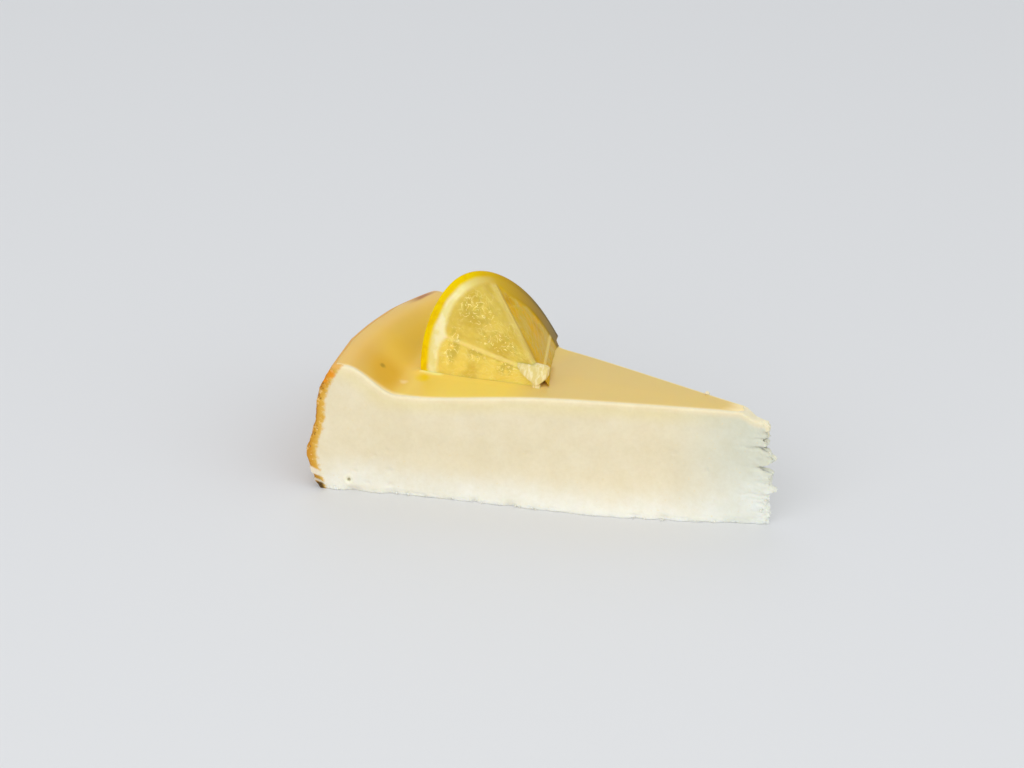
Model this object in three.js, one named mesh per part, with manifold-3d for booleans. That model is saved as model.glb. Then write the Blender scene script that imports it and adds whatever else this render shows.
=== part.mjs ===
// A slice of yuzu cheesecake: a wedge of baked cream cheese cake with a browned outer wall and a
// raised rim, a thin amber citrus glaze over its sunken top, and a bent piece of citrus wheel that
// stands in the glaze on its two cut edges.
//
// Millimetres, +Z up. The origin is on the underside at mid length, +X points to the tip, and the
// two cut faces look to the -Y and +Y sides.

import * as THREE from 'three';
import * as BufferGeometryUtils from 'three/addons/utils/BufferGeometryUtils.js';
import Module from 'manifold-3d';

const wasm = await Module();
wasm.setup();

// The wedge as cut from a round cake
const TIN_RADIUS = 115;
const HALF_ANGLE = THREE.MathUtils.degToRad(15.6);
const MIDDLE_BEARING = THREE.MathUtils.degToRad(1.6);
const TIP_X = TIN_RADIUS / 2;
const TIP_HALF_WIDTH = 0.9;
const TIP_BLUNT_LENGTH = 5;

// The top: flat at this height, leaning down to the back, sunken before the rim, raised at the rim
const TOP_HEIGHT = 30.1;
const TOP_LEAN = 0.075;
const TOP_LEAN_START = 3;
const HOLLOW_RADIUS = 89;
const HOLLOW_WIDTH = 22;
const HOLLOW_DEPTH_AT_CUT = 2.3;
const HOLLOW_DEPTH_INSIDE = 1.4;
const RIM_RISE = 6.3;
const RIM_SAG_BEHIND = 0.8;
const RIM_SAG_FROM = -0.6;
const RIM_SAG_SPAN = 0.5;
const RIM_FOOT_RADIUS = 94;
const RIM_CREST_RADIUS = 106.5;
const RIM_ROUND_RADIUS = 107.5;
const RIM_ROUND_DROP = 0.06;
const RIM_WAVE = 0.5;

// The outer wall, from the underside up
const WALL_SHRINK = 0.7;
const WALL_BULGE = 2.75;
const WALL_BULGE_HEIGHT = 10;
const WALL_BULGE_SPREAD = 7.5;
const WALL_ROUND_HEIGHT = 23;
const WALL_ROUND_TOP = 34.4;
const WALL_ROUND_INSET = 4.8;
const CRUST_LUMP = 0.9;
const CRUST_LUMP_SIZE = 4.5;

// The cut faces and the edges that the knife and the tin tore
const CUT_WAVE = 0.22;
const CUT_WAVE_SIZE = 9;
const FOOT_BITE = 1.1;
const FOOT_BITE_SIZE = 3.2;
const FOOT_BITE_HEIGHT = 2.2;
const FOOT_FLARE = 3.6;
const FOOT_FLARE_BEHIND = 1.6;
const FOOT_FLARE_RADIUS = 38;
const FOOT_FLARE_SPREAD = 34;
const FOOT_FLARE_HEIGHT = 15;

// The torn tip: how far its top droops, and the flakes that stand out of it or are missing
const TIP_DROOP = 2;
const TIP_DROOP_START = 8.4;
const TIP_DROOP_LENGTH = 5;
const TIP_ROUND = 0.8;
const TIP_ROUND_LENGTH = 1.5;
const TIP_FLAKE_FADE = 2.6;
const TIP_FLAKES = [
  { height: 27.0, half: 0.9, reach: -0.5 },
  { height: 24.9, half: 0.9, reach: -1.2 },
  { height: 23.2, half: 0.7, reach: -1.2 },
  { height: 22.0, half: 0.8, reach: -0.4 },
  { height: 20.7, half: 0.9, reach: -1.1 },
  { height: 17.9, half: 1.2, reach: 1.2 },
  { height: 15.6, half: 0.9, reach: -1.8 },
  { height: 13.9, half: 1.0, reach: 1.1 },
  { height: 12.0, half: 1.2, reach: 0.4 },
  { height: 9.6, half: 1.0, reach: 2.1 },
  { height: 5.9, half: 1.2, reach: -0.6 },
  { height: 2.6, half: 1.2, reach: 0.6 },
];

// The glaze
const GLAZE_START = 7.6;
const GLAZE_END = 108.6;
const GLAZE_THICKNESS = 0.8;
const GLAZE_POOL = 0.9;
const GLAZE_EDGE_THICKNESS = 0.5;
const GLAZE_EDGE_LENGTH = 12;
const SEAT_GAP = 0.35;

// The citrus piece: a sector of a wheel, bent as a cone about its hub
const CITRUS_RADIUS = 34.3;
const CITRUS_THICKNESS = 3.2;
const CITRUS_TAPER = 0.42;
const CITRUS_HUB = new THREE.Vector3(0.2, -8.05, TOP_HEIGHT + 3.2);
const CITRUS_HUB_RADIUS = 1.3;
const CITRUS_SKIRT = 9;
const CITRUS_PEEL_WIDTH = 5.2;
const CITRUS_FLESH_DIP = 0.3;
const CITRUS_FRONT_EDGE = new THREE.Vector3(-0.853, -0.009, -0.137);
const CITRUS_BACK_EDGE = new THREE.Vector3(-0.284, 1, -0.125);
const CITRUS_LIFT = new THREE.Vector3(-0.564, 0.174, 1.24);
const CITRUS_SHOULDER = new THREE.Vector3(-0.222, -0.09, 0.24);

// The core that fills the citrus piece's hub, a lump along X that hangs lowest near its right end
const CORE_LEFT = -7.1;
const CORE_RIGHT = 1.7;
const CORE_TOP = 35.4;
const CORE_BOTTOM = 30.2;
const CORE_BOTTOM_LEFT = 32.7;
const CORE_BOTTOM_RIGHT = 32.4;
const CORE_LOWEST_AT = 0.72;
const CORE_MIDDLE_Y = -7.15;
const CORE_MIDDLE_Z = 33;
const CORE_HALF_DEPTH = 1.5;
const CORE_LEAN = 0.45;
const CORE_END_SHARE = 0.5;
const CORE_CORNER_ROUND = 0.3;
const CORE_STEPS = [10, 4, 4];

// Facets
const LENGTH_STEPS = 48;
const WIDTH_STEPS = 12;
const HEIGHT_STEPS = 22;
const END_CROWDING = 0.55;
const ARCH_STEPS = 36;
const SKIRT_STEPS = 3;
const SPOKE_STEPS = 8;

/** Eases from 0 to 1 as t goes from 0 to 1. */
function ease(t) {
  return THREE.MathUtils.smoothstep(t, 0, 1);
}

/** A bell of height 1 round a centre. */
function bell(x, centre, width) {
  return Math.exp(-(((x - centre) / width) ** 2));
}

/** A fixed scattered value from -1 to 1 for each lattice point. */
function lattice(i, j, k) {
  const mixed = Math.sin(i * 127.1 + j * 311.7 + k * 74.7) * 43758.5453;
  return 2 * (mixed - Math.floor(mixed)) - 1;
}

/** Smooth lumps from -1 to 1, about one unit across. */
function lumps(x, y, z) {
  const [i, j, k] = [Math.floor(x), Math.floor(y), Math.floor(z)];
  const [a, b, c] = [ease(x - i), ease(y - j), ease(z - k)];
  const { lerp } = THREE.MathUtils;
  const row = (dj, dk) => lerp(lattice(i, j + dj, k + dk), lattice(i + 1, j + dj, k + dk), a);
  return lerp(lerp(row(0, 0), row(1, 0), b), lerp(row(0, 1), row(1, 1), b), c);
}

/** Height of the finished top at a distance from the tip's axis; side is -1 and 1 at the cuts. */
function topHeight(radius, side) {
  const depth = THREE.MathUtils.lerp(HOLLOW_DEPTH_INSIDE, HOLLOW_DEPTH_AT_CUT, ease(-side));
  const hollow = depth * bell(radius, HOLLOW_RADIUS, HOLLOW_WIDTH);
  const climb = ease((radius - RIM_FOOT_RADIUS) / (RIM_CREST_RADIUS - RIM_FOOT_RADIUS));
  const wave = RIM_WAVE * lumps(side * 2.6 + 5, 3.5, 0.5) * (1 - side * side);
  const rise = RIM_RISE + wave - RIM_SAG_BEHIND * ease((side - RIM_SAG_FROM) / RIM_SAG_SPAN);
  const round = RIM_ROUND_DROP * Math.max(0, radius - RIM_ROUND_RADIUS) ** 2;
  const droop = TIP_DROOP * ease((TIP_DROOP_START - radius) / TIP_DROOP_LENGTH);
  const end = TIP_ROUND * ease((TIP_ROUND_LENGTH - radius) / TIP_ROUND_LENGTH);
  const behind = Math.max(0, radius * Math.sin(side * HALF_ANGLE + MIDDLE_BEARING));
  const lean = (TOP_LEAN * behind * behind) / (behind + TOP_LEAN_START);
  return TOP_HEIGHT - hollow + rise * climb - round - droop - end - lean;
}

/** Distance of the outer wall from the tip's axis, without its lumps. */
function wallRadius(height) {
  const bulge = WALL_BULGE * bell(height, WALL_BULGE_HEIGHT, WALL_BULGE_SPREAD);
  const above = Math.max(0, height - WALL_ROUND_HEIGHT);
  const round = WALL_ROUND_INSET * (above / (WALL_ROUND_TOP - WALL_ROUND_HEIGHT)) ** 2;
  return TIN_RADIUS - WALL_SHRINK + bulge - round;
}

const CREST_RADIUS = wallRadius(topHeight(TIN_RADIUS - WALL_SHRINK - WALL_ROUND_INSET, -1));

/** Where the top ends at the outer wall; further out at the back, where the rim is lower. */
function crestRadius(side) {
  return wallRadius(topHeight(CREST_RADIUS, side));
}

/** How deep the glaze lies on the cake. */
function glazeThickness(radius, side) {
  const pool = GLAZE_POOL * bell(radius, HOLLOW_RADIUS, HOLLOW_WIDTH) * (1 - side ** 4);
  const fromEnd = Math.min(radius - GLAZE_START, GLAZE_END - radius);
  const full = ease(fromEnd / GLAZE_EDGE_LENGTH);
  return THREE.MathUtils.lerp(GLAZE_EDGE_THICKNESS, GLAZE_THICKNESS + pool, full);
}

/** Where each cross-section stands, as a share of the length; crowded at the tip and the rim. */
function station(i) {
  const t = i / LENGTH_STEPS;
  return t - (END_CROWDING * Math.sin(2 * Math.PI * t)) / (2 * Math.PI);
}

/** The first and last cross-sections that the glaze reaches. */
function glazeStations() {
  const inside = [];
  for (let i = 0; i <= LENGTH_STEPS; i += 1) {
    const radius = station(i) * CREST_RADIUS;
    if (radius >= GLAZE_START && radius <= GLAZE_END) {
      inside.push(i);
    }
  }
  return { first: inside[0], last: inside[inside.length - 1] };
}

const GLAZED = glazeStations();

/** How far the soft foot of a cut spreads outwards. */
function flare(radius, side, height) {
  const most = side < 0 ? FOOT_FLARE : FOOT_FLARE_BEHIND;
  const along = bell(radius, FOOT_FLARE_RADIUS, FOOT_FLARE_SPREAD) * ease(radius / 7);
  const low = 1 - THREE.MathUtils.clamp(height / FOOT_FLARE_HEIGHT, 0, 1);
  return side * Math.abs(side) * most * along * low * low;
}

/** A point of the wedge from its distance to the tip's axis, its side from -1 to 1 and its height. */
function wedgePoint(radius, side, height) {
  const bearing = side * HALF_ANGLE + MIDDLE_BEARING;
  const blunt = TIP_HALF_WIDTH * Math.exp(-Math.max(0, radius) / TIP_BLUNT_LENGTH);
  const x = TIP_X - radius * Math.cos(bearing);
  const y = radius * Math.sin(bearing) + side * blunt + flare(radius, side, height);
  return new THREE.Vector3(x, y, height);
}

/** How far the torn tip stands out at a height. */
function tipReach(height, side) {
  let reach = 0;
  for (const flake of TIP_FLAKES) {
    reach += flake.reach * bell(height, flake.height, flake.half);
  }
  return reach + 0.35 * lumps(side * 1.5 + 7, height / 1.7, 2.5);
}

/** A closed mesh with shared vertices from a box whose points are moved by a function. */
function shapedBox(steps, place) {
  const box = new THREE.BoxGeometry(1, 1, 1, steps[0], steps[1], steps[2]);
  box.deleteAttribute('normal');
  box.deleteAttribute('uv');
  const merged = BufferGeometryUtils.mergeVertices(box, 1e-5);
  const position = merged.getAttribute('position');
  for (let n = 0; n < position.count; n += 1) {
    const share = [position.getX(n) + 0.5, position.getY(n) + 0.5, position.getZ(n) + 0.5];
    const grid = share.map((value, axis) => Math.round(value * steps[axis]));
    const point = place(grid[0], grid[1], grid[2]);
    position.setXYZ(n, point.x, point.y, point.z);
  }
  return merged;
}

/** A solid for cutting and joining from a closed geometry. */
function solidOf(geometry) {
  const vertProperties = new Float32Array(geometry.getAttribute('position').array);
  const triVerts = new Uint32Array(geometry.getIndex().array);
  return new wasm.Manifold(new wasm.Mesh({ numProp: 3, vertProperties, triVerts }));
}

/** The geometry of a cut or joined solid. */
function geometryOf(solid) {
  const { vertProperties, triVerts } = solid.getMesh();
  const geometry = new THREE.BufferGeometry();
  geometry.setAttribute('position', new THREE.BufferAttribute(vertProperties, 3));
  geometry.setIndex(new THREE.BufferAttribute(triVerts, 1));
  return geometry;
}

/** The cake itself, with its top lowered where the glaze lies on it. */
function cakeBody() {
  return shapedBox([LENGTH_STEPS, WIDTH_STEPS, HEIGHT_STEPS], (i, j, k) => {
    const index = LENGTH_STEPS - i;
    const side = (2 * j) / WIDTH_STEPS - 1;
    const level = k / HEIGHT_STEPS;
    const share = station(index);
    const topRadius = share * crestRadius(side);
    const glazed = index >= GLAZED.first && index <= GLAZED.last;
    const cover = glazed ? glazeThickness(share * CREST_RADIUS, side) + SEAT_GAP : 0;
    const height = level * (topHeight(topRadius, side) - cover);
    const wallHeight = level * topHeight(CREST_RADIUS, side);
    const inside = 1 - 0.75 * side ** 4;
    const crust = CRUST_LUMP * inside * ease(share * 20 - 19) * ease((wallHeight + 2) / 4);
    const bump = crust * lumps(side * 6 + 9, wallHeight / CRUST_LUMP_SIZE, 4.5);
    const radius = share * (wallRadius(wallHeight) + bump * (level < 1 ? 1 : 0));
    const point = wedgePoint(radius, side, height);

    const atTip = Math.exp(-radius / TIP_FLAKE_FADE);
    point.x += tipReach(height, side) * atTip;
    const cut = Math.abs(side) ** 6;
    const wave = CUT_WAVE * lumps(radius / CUT_WAVE_SIZE, height / CUT_WAVE_SIZE, side + 3);
    const low = ease(1 - height / FOOT_BITE_HEIGHT) * ease(radius / 6);
    const bite = FOOT_BITE * Math.max(0, lumps(radius / FOOT_BITE_SIZE, 6.5, side + 8)) * low;
    point.y += (k < HEIGHT_STEPS ? wave * ease(radius / 8) : 0) * cut;
    point.y -= Math.sign(side) * bite * cut;
    return point;
  });
}

/** The layer of glaze, from cut to cut. */
function glazeLayer() {
  const steps = GLAZED.last - GLAZED.first;
  return shapedBox([steps, WIDTH_STEPS, 1], (i, j, k) => {
    const share = station(GLAZED.last - i);
    const side = (2 * j) / WIDTH_STEPS - 1;
    const radius = share * crestRadius(side);
    const top = topHeight(radius, side);
    return wedgePoint(radius, side, k === 1 ? top : top - glazeThickness(share * CREST_RADIUS, side));
  });
}

/** A block under the glaze's surface, and a little over it, that trims what stands in the glaze. */
function glazeTrim() {
  const low = new THREE.Vector3(-48, -24, TOP_HEIGHT - 14);
  const size = new THREE.Vector3(62, 60, 0);
  const steps = [30, 30];
  return shapedBox([steps[0], steps[1], 1], (i, j, k) => {
    const x = low.x + (size.x * i) / steps[0];
    const y = low.y + (size.y * j) / steps[1];
    const radius = Math.hypot(TIP_X - x, y);
    const bearing = Math.atan2(y, TIP_X - x);
    const side = THREE.MathUtils.clamp((bearing - MIDDLE_BEARING) / HALF_ANGLE, -1, 1);
    return new THREE.Vector3(x, y, k === 1 ? topHeight(radius, side) + SEAT_GAP : low.z);
  });
}

/** Direction of a spoke of the bent wheel; turn goes from 0 at the front edge to 1 at the back. */
function spoke(turn) {
  const angle = (turn * Math.PI) / 2;
  const direction = new THREE.Vector3();
  direction.addScaledVector(CITRUS_FRONT_EDGE, Math.cos(angle));
  direction.addScaledVector(CITRUS_BACK_EDGE, Math.sin(angle));
  direction.addScaledVector(CITRUS_LIFT, Math.sin(2 * angle));
  direction.addScaledVector(CITRUS_SHOULDER, Math.sin(4 * angle));
  return direction.normalize();
}

/** Which way the bend runs at a spoke. */
function bendDirection(turn) {
  const nudge = 1e-4;
  const step = spoke(turn + nudge).sub(spoke(turn - nudge));
  return step.normalize();
}

/** The bent sheet of citrus, carried on below both cut edges so that the glaze can trim it. */
function citrusSheet() {
  const around = ARCH_STEPS + 2 * SKIRT_STEPS;
  return shapedBox([around, SPOKE_STEPS, 1], (i, j, k) => {
    const turn = THREE.MathUtils.clamp((i - SKIRT_STEPS) / ARCH_STEPS, 0, 1);
    const below = Math.max(SKIRT_STEPS - i, i - SKIRT_STEPS - ARCH_STEPS, 0) / SKIRT_STEPS;
    const radius = THREE.MathUtils.lerp(CITRUS_HUB_RADIUS, CITRUS_RADIUS, j / SPOKE_STEPS);
    const direction = spoke(turn);
    const bend = bendDirection(turn);
    const outward = new THREE.Vector3().crossVectors(bend, direction).normalize();
    const point = CITRUS_HUB.clone().addScaledVector(direction, radius);
    point.addScaledVector(bend, (i < SKIRT_STEPS ? -1 : 1) * below * CITRUS_SKIRT);
    const thickness = Math.min(CITRUS_THICKNESS, CITRUS_TAPER * radius);
    const flesh = radius < CITRUS_RADIUS - CITRUS_PEEL_WIDTH && radius > CITRUS_THICKNESS;
    const dip = flesh ? CITRUS_FLESH_DIP : 0;
    return point.addScaledVector(outward, k === 1 ? -dip : -thickness);
  });
}

/** The core: a rounded lump, slender at both ends, whose underside sinks to the glaze. */
function citrusCore() {
  const { lerp } = THREE.MathUtils;
  return shapedBox(CORE_STEPS, (i, j, k) => {
    const along = i / CORE_STEPS[0];
    const across = (2 * j) / CORE_STEPS[1] - 1;
    const up = (2 * k) / CORE_STEPS[2] - 1;
    const before = along < CORE_LOWEST_AT;
    const fall = before ? along / CORE_LOWEST_AT : (1 - along) / (1 - CORE_LOWEST_AT);
    const bottom = lerp(before ? CORE_BOTTOM_LEFT : CORE_BOTTOM_RIGHT, CORE_BOTTOM, fall);
    const full = Math.sqrt(1 - (2 * along - 1) ** 4);
    const share = lerp(CORE_END_SHARE, 1, full);
    const halfHeight = ((CORE_TOP - bottom) / 2) * share;
    const z = (CORE_TOP + bottom) / 2 + halfHeight * up * Math.sqrt(1 - CORE_CORNER_ROUND * across ** 2);
    const depth = CORE_HALF_DEPTH * share * across * Math.sqrt(1 - CORE_CORNER_ROUND * up ** 2);
    const y = CORE_MIDDLE_Y + depth + CORE_LEAN * (z - CORE_MIDDLE_Z);
    return new THREE.Vector3(lerp(CORE_LEFT, CORE_RIGHT, along), y, z);
  });
}

/** The citrus piece with its core, trimmed to stand in the glaze. */
function citrusSlice() {
  const whole = solidOf(citrusSheet()).add(solidOf(citrusCore()));
  return geometryOf(whole.subtract(solidOf(glazeTrim())));
}

/** A named mesh with its own material. */
function part(name, geometry, color, roughness) {
  const material = new THREE.MeshStandardMaterial({ color, roughness, metalness: 0 });
  const mesh = new THREE.Mesh(geometry, material);
  mesh.name = name;
  return mesh;
}

const group = new THREE.Group();
group.add(part('cake_body', cakeBody(), 0xe8dfc2, 0.6));
group.add(part('yuzu_glaze', glazeLayer(), 0xe3b75a, 0.15));
group.add(part('citrus_slice', citrusSlice(), 0xeccb3a, 0.3));

export default group;
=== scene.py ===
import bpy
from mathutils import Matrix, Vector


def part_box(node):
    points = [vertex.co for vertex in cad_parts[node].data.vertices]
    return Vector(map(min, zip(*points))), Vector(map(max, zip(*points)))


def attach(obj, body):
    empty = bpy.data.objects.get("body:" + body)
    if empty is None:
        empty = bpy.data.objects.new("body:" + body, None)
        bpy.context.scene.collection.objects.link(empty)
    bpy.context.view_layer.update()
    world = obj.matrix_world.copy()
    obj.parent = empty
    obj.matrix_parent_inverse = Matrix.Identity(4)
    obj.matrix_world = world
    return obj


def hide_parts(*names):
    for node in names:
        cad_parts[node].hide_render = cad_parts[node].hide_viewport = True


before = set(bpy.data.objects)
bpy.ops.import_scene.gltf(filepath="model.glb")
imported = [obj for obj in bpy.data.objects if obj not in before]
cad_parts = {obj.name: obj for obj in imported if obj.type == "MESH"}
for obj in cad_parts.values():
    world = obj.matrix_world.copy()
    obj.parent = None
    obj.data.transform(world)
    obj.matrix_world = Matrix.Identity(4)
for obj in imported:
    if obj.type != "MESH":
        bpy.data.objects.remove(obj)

"""A slice of yuzu cheesecake with an amber glaze and a bent piece of citrus, in a soft studio.

The classes hold their sizes in millimetres, as the solids do, and MM turns them into Blender's
metres. The object's frame has +X towards the tip, +Z up, and its origin on the underside.
The wedge has measures of its own: radius is the distance from the tip's axis, side runs from -1
at the front cut to 1 at the back cut, and height is above the underside.
"""

import logging
import math
from dataclasses import dataclass
from enum import Enum
from functools import cached_property

import bmesh
import bpy
import numpy as np
from mathutils import Vector

MM = 0.001
ROOT_BODY = "root"
WHEEL_MAP = "wheel"
EDGE_PULL = 0.35
OCTAVE_SHIFT = 17
OCTAVE_TOTAL = 1.6
CELL_JITTER = 0.42
BEYOND_ANY_CELL = 9.0
LOG = logging.getLogger("cheesecake")

Array = np.ndarray
Piece = bpy.types.Object
Place = tuple[float, float, float]
Colour = tuple[float, float, float, float]
Stops = tuple[tuple[float, Colour], ...]


def paint(red: int, green: int, blue: int) -> Colour:
    """Turns a screen colour into the linear colour that a shader reads.

    Args:
        red, green, blue: The screen colour, each from 0 to 255.

    Returns:
        The linear colour with full alpha.
    """
    shares = [value / 255 for value in (red, green, blue)]
    linear = [s / 12.92 if s <= 0.04045 else ((s + 0.055) / 1.055) ** 2.4 for s in shares]
    return (linear[0], linear[1], linear[2], 1.0)


def band(*stops: tuple[float, int, int, int]) -> Stops:
    """Turns places from 0 to 1 and their screen colours into the stops of a ramp."""
    return tuple((place, paint(*colour)) for place, *colour in stops)


def ease(t: Array) -> Array:
    """Eases from 0 to 1 as t goes from 0 to 1, and stays level beyond."""
    t = np.clip(t, 0.0, 1.0)
    return t * t * (3 - 2 * t)


def bell(x: Array, centre: float, width: float) -> Array:
    """The height at x of a bell of height 1."""
    return np.exp(-(((x - centre) / width) ** 2))


def crowd(t: Array, amount: float) -> Array:
    """Moves values from 0 to 1 towards both ends."""
    return t - amount * np.sin(2 * math.pi * t) / (2 * math.pi)


def to_edges(t: Array) -> Array:
    """Moves values from -1 to 1 towards both ends."""
    return t * (1 + EDGE_PULL * (1 - t * t))


def round_over(t: Array) -> Array:
    """The fall of a quarter circle as t goes from 0 to 1."""
    return 1 - np.sqrt(1 - np.clip(t, 0, 1) ** 2)


def lattice(i: Array, j: Array, k: Array) -> Array:
    """A fixed scattered value from -1 to 1 for each lattice point."""
    mixed = np.sin(i * 127.1 + j * 311.7 + k * 74.7) * 43758.5453
    return 2 * (mixed - np.floor(mixed)) - 1


def lumps(x: Array, y: Array, z: Array) -> Array:
    """Smooth lumps from -1 to 1, about one unit across.

    Args:
        x, y, z: Coordinates.

    Returns:
        The height of the lumps there.
    """
    x, y, z = np.broadcast_arrays(x, y, z)
    i, j, k = np.floor(x), np.floor(y), np.floor(z)
    a, b, c = ease(x - i), ease(y - j), ease(z - k)

    def row(dj: int, dk: int) -> Array:
        """Blends along the first coordinate."""
        low = lattice(i, j + dj, k + dk)
        return low + (lattice(i + 1, j + dj, k + dk) - low) * a

    near = row(0, 0) + (row(1, 0) - row(0, 0)) * b
    far = row(0, 1) + (row(1, 1) - row(0, 1)) * b
    return near + (far - near) * c


def grit(x: Array, y: Array, z: Array, octaves: int = 3) -> Array:
    """Lumps with finer lumps on them.

    Args:
        x, y, z: Coordinates.
        octaves: How many sizes of lump.

    Returns:
        The height of the grit, about -1 to 1.
    """
    total = np.zeros(np.broadcast(x, y, z).shape)
    for octave in range(octaves):
        scale = 2.0**octave
        total += lumps(x * scale + OCTAVE_SHIFT * octave, y * scale, z * scale) / scale
    return total / OCTAVE_TOTAL


def cells(x: Array, y: Array, seed: float) -> Array:
    """Cells scattered in the plane, about one unit across.

    Args:
        x, y: Coordinates.
        seed: Picks one scattering.

    Returns:
        The distance to the nearest cell's centre.
    """
    i, j = np.floor(x), np.floor(y)
    nearest = np.full(x.shape, BEYOND_ANY_CELL)
    for ci, cj in ((i + di, j + dj) for di in (-1, 0, 1) for dj in (-1, 0, 1)):
        cx = ci + 0.5 + CELL_JITTER * lattice(ci, cj, seed)
        cy = cj + 0.5 + CELL_JITTER * lattice(ci, cj, seed + 1)
        nearest = np.minimum(nearest, np.hypot(x - cx, y - cy))
    return nearest


@dataclass(frozen=True)
class Spot:
    """A round mark: its centre, where it starts to fade and where it ends, in millimetres."""

    centre: Place
    inner: float
    outer: float


class Graph:
    """The nodes of one material."""

    def __init__(self, name: str) -> None:
        """Starts a material with a Principled shader.

        Args:
            name: The material's name.
        """
        self.material = bpy.data.materials.new(name)
        self.material.use_nodes = True
        self.tree = self.material.node_tree

    @cached_property
    def place(self) -> "Signal":
        """The object's own coordinates, in metres."""
        return self.node("TexCoord", {}, "Object")

    @cached_property
    def wheel(self) -> "Signal":
        """The place on the flat citrus wheel: angle and distance."""
        return self.node("UVMap", {}, "UV", uv_map=WHEEL_MAP)

    def fill(self, node: bpy.types.Node, inputs: dict[str | int, object]) -> None:
        """Sets or connects a node's inputs.

        Args:
            node: The node.
            inputs: Values and signals by input.
        """
        for key, value in inputs.items():
            if isinstance(value, Signal):
                self.tree.links.new(value.socket, node.inputs[key])
            else:
                node.inputs[key].default_value = value

    def node(
        self, kind: str, inputs: dict[str | int, object], out: str | int = 0, **options: object
    ) -> "Signal":
        """Adds a node.

        Args:
            kind: The node's type.
            inputs: Values and signals by input.
            out: The output to go on with.
            **options: Values of its own settings.

        Returns:
            What the output gives.
        """
        made = self.tree.nodes.new("ShaderNode" + kind)
        for key, value in options.items():
            setattr(made, key, value)
        self.fill(made, inputs)
        return Signal(self, made.outputs[out])

    def attribute(self, name: str) -> "Signal":
        """A number that the mesh carries at its points."""
        return self.node("Attribute", {}, "Fac", attribute_name=name)

    def mm(self, axis: str) -> "Signal":
        """One of the object's own coordinates, in millimetres."""
        return self.place.part(axis) / MM

    def noise(
        self, scale: float, detail: float = 2.0, rough: float = 0.5, vector: "Signal | None" = None
    ) -> "Signal":
        """Cloudy noise from 0 to 1.

        Args:
            scale: How fine it is.
            detail: How many finer layers it has.
            rough: How strong they are.
            vector: Coordinates, where they aren't the object's own.

        Returns:
            The noise.
        """
        where = vector or self.place
        values = {"Vector": where, "Scale": scale, "Detail": detail, "Roughness": rough}
        return self.node("TexNoise", values, "Fac")

    def drift(self, size: float, scale: float, detail: float, rough: float = 0.5) -> "Signal":
        """Noise round 0, with a size from its lowest to its highest."""
        return (self.noise(scale, detail, rough) - 0.5) * size

    def bubbles(self, vector: "Signal", scale: float, **options: object) -> "Signal":
        """Distance to the nearest of scattered points."""
        return self.node("TexVoronoi", {"Vector": vector, "Scale": scale}, "Distance", **options)

    def spot(self, spot: Spot, wander: "Signal | None" = None) -> "Signal":
        """How far a place lies inside a round mark.

        Args:
            spot: The mark.
            wander: How far its border strays in metres, where it does.

        Returns:
            A share from 0 to 1.
        """
        centre = [value * MM for value in spot.centre]
        away = self.node("VectorMath", {0: self.place, 1: centre}, "Value", operation="DISTANCE")
        if wander:
            away = away + wander
        return away.spread(spot.outer * MM, spot.inner * MM)

    def mix(self, share: object, first: object, second: object, blend: str = "MIX") -> "Signal":
        """Mixes two colours.

        Args:
            share: How much of the second.
            first, second: The colours.
            blend: How they are mixed.

        Returns:
            The mixed colour.
        """
        values = {0: share, 6: first, 7: second}
        return self.node("Mix", values, 2, data_type="RGBA", blend_type=blend)

    def finish(self, **values: object) -> bpy.types.Material:
        """Fills the shader's sockets.

        Args:
            **values: Values and signals by socket, with _ for a blank.

        Returns:
            The material.
        """
        named = {key.replace("_", " "): value for key, value in values.items()}
        self.fill(self.tree.nodes["Principled BSDF"], named)
        return self.material


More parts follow.
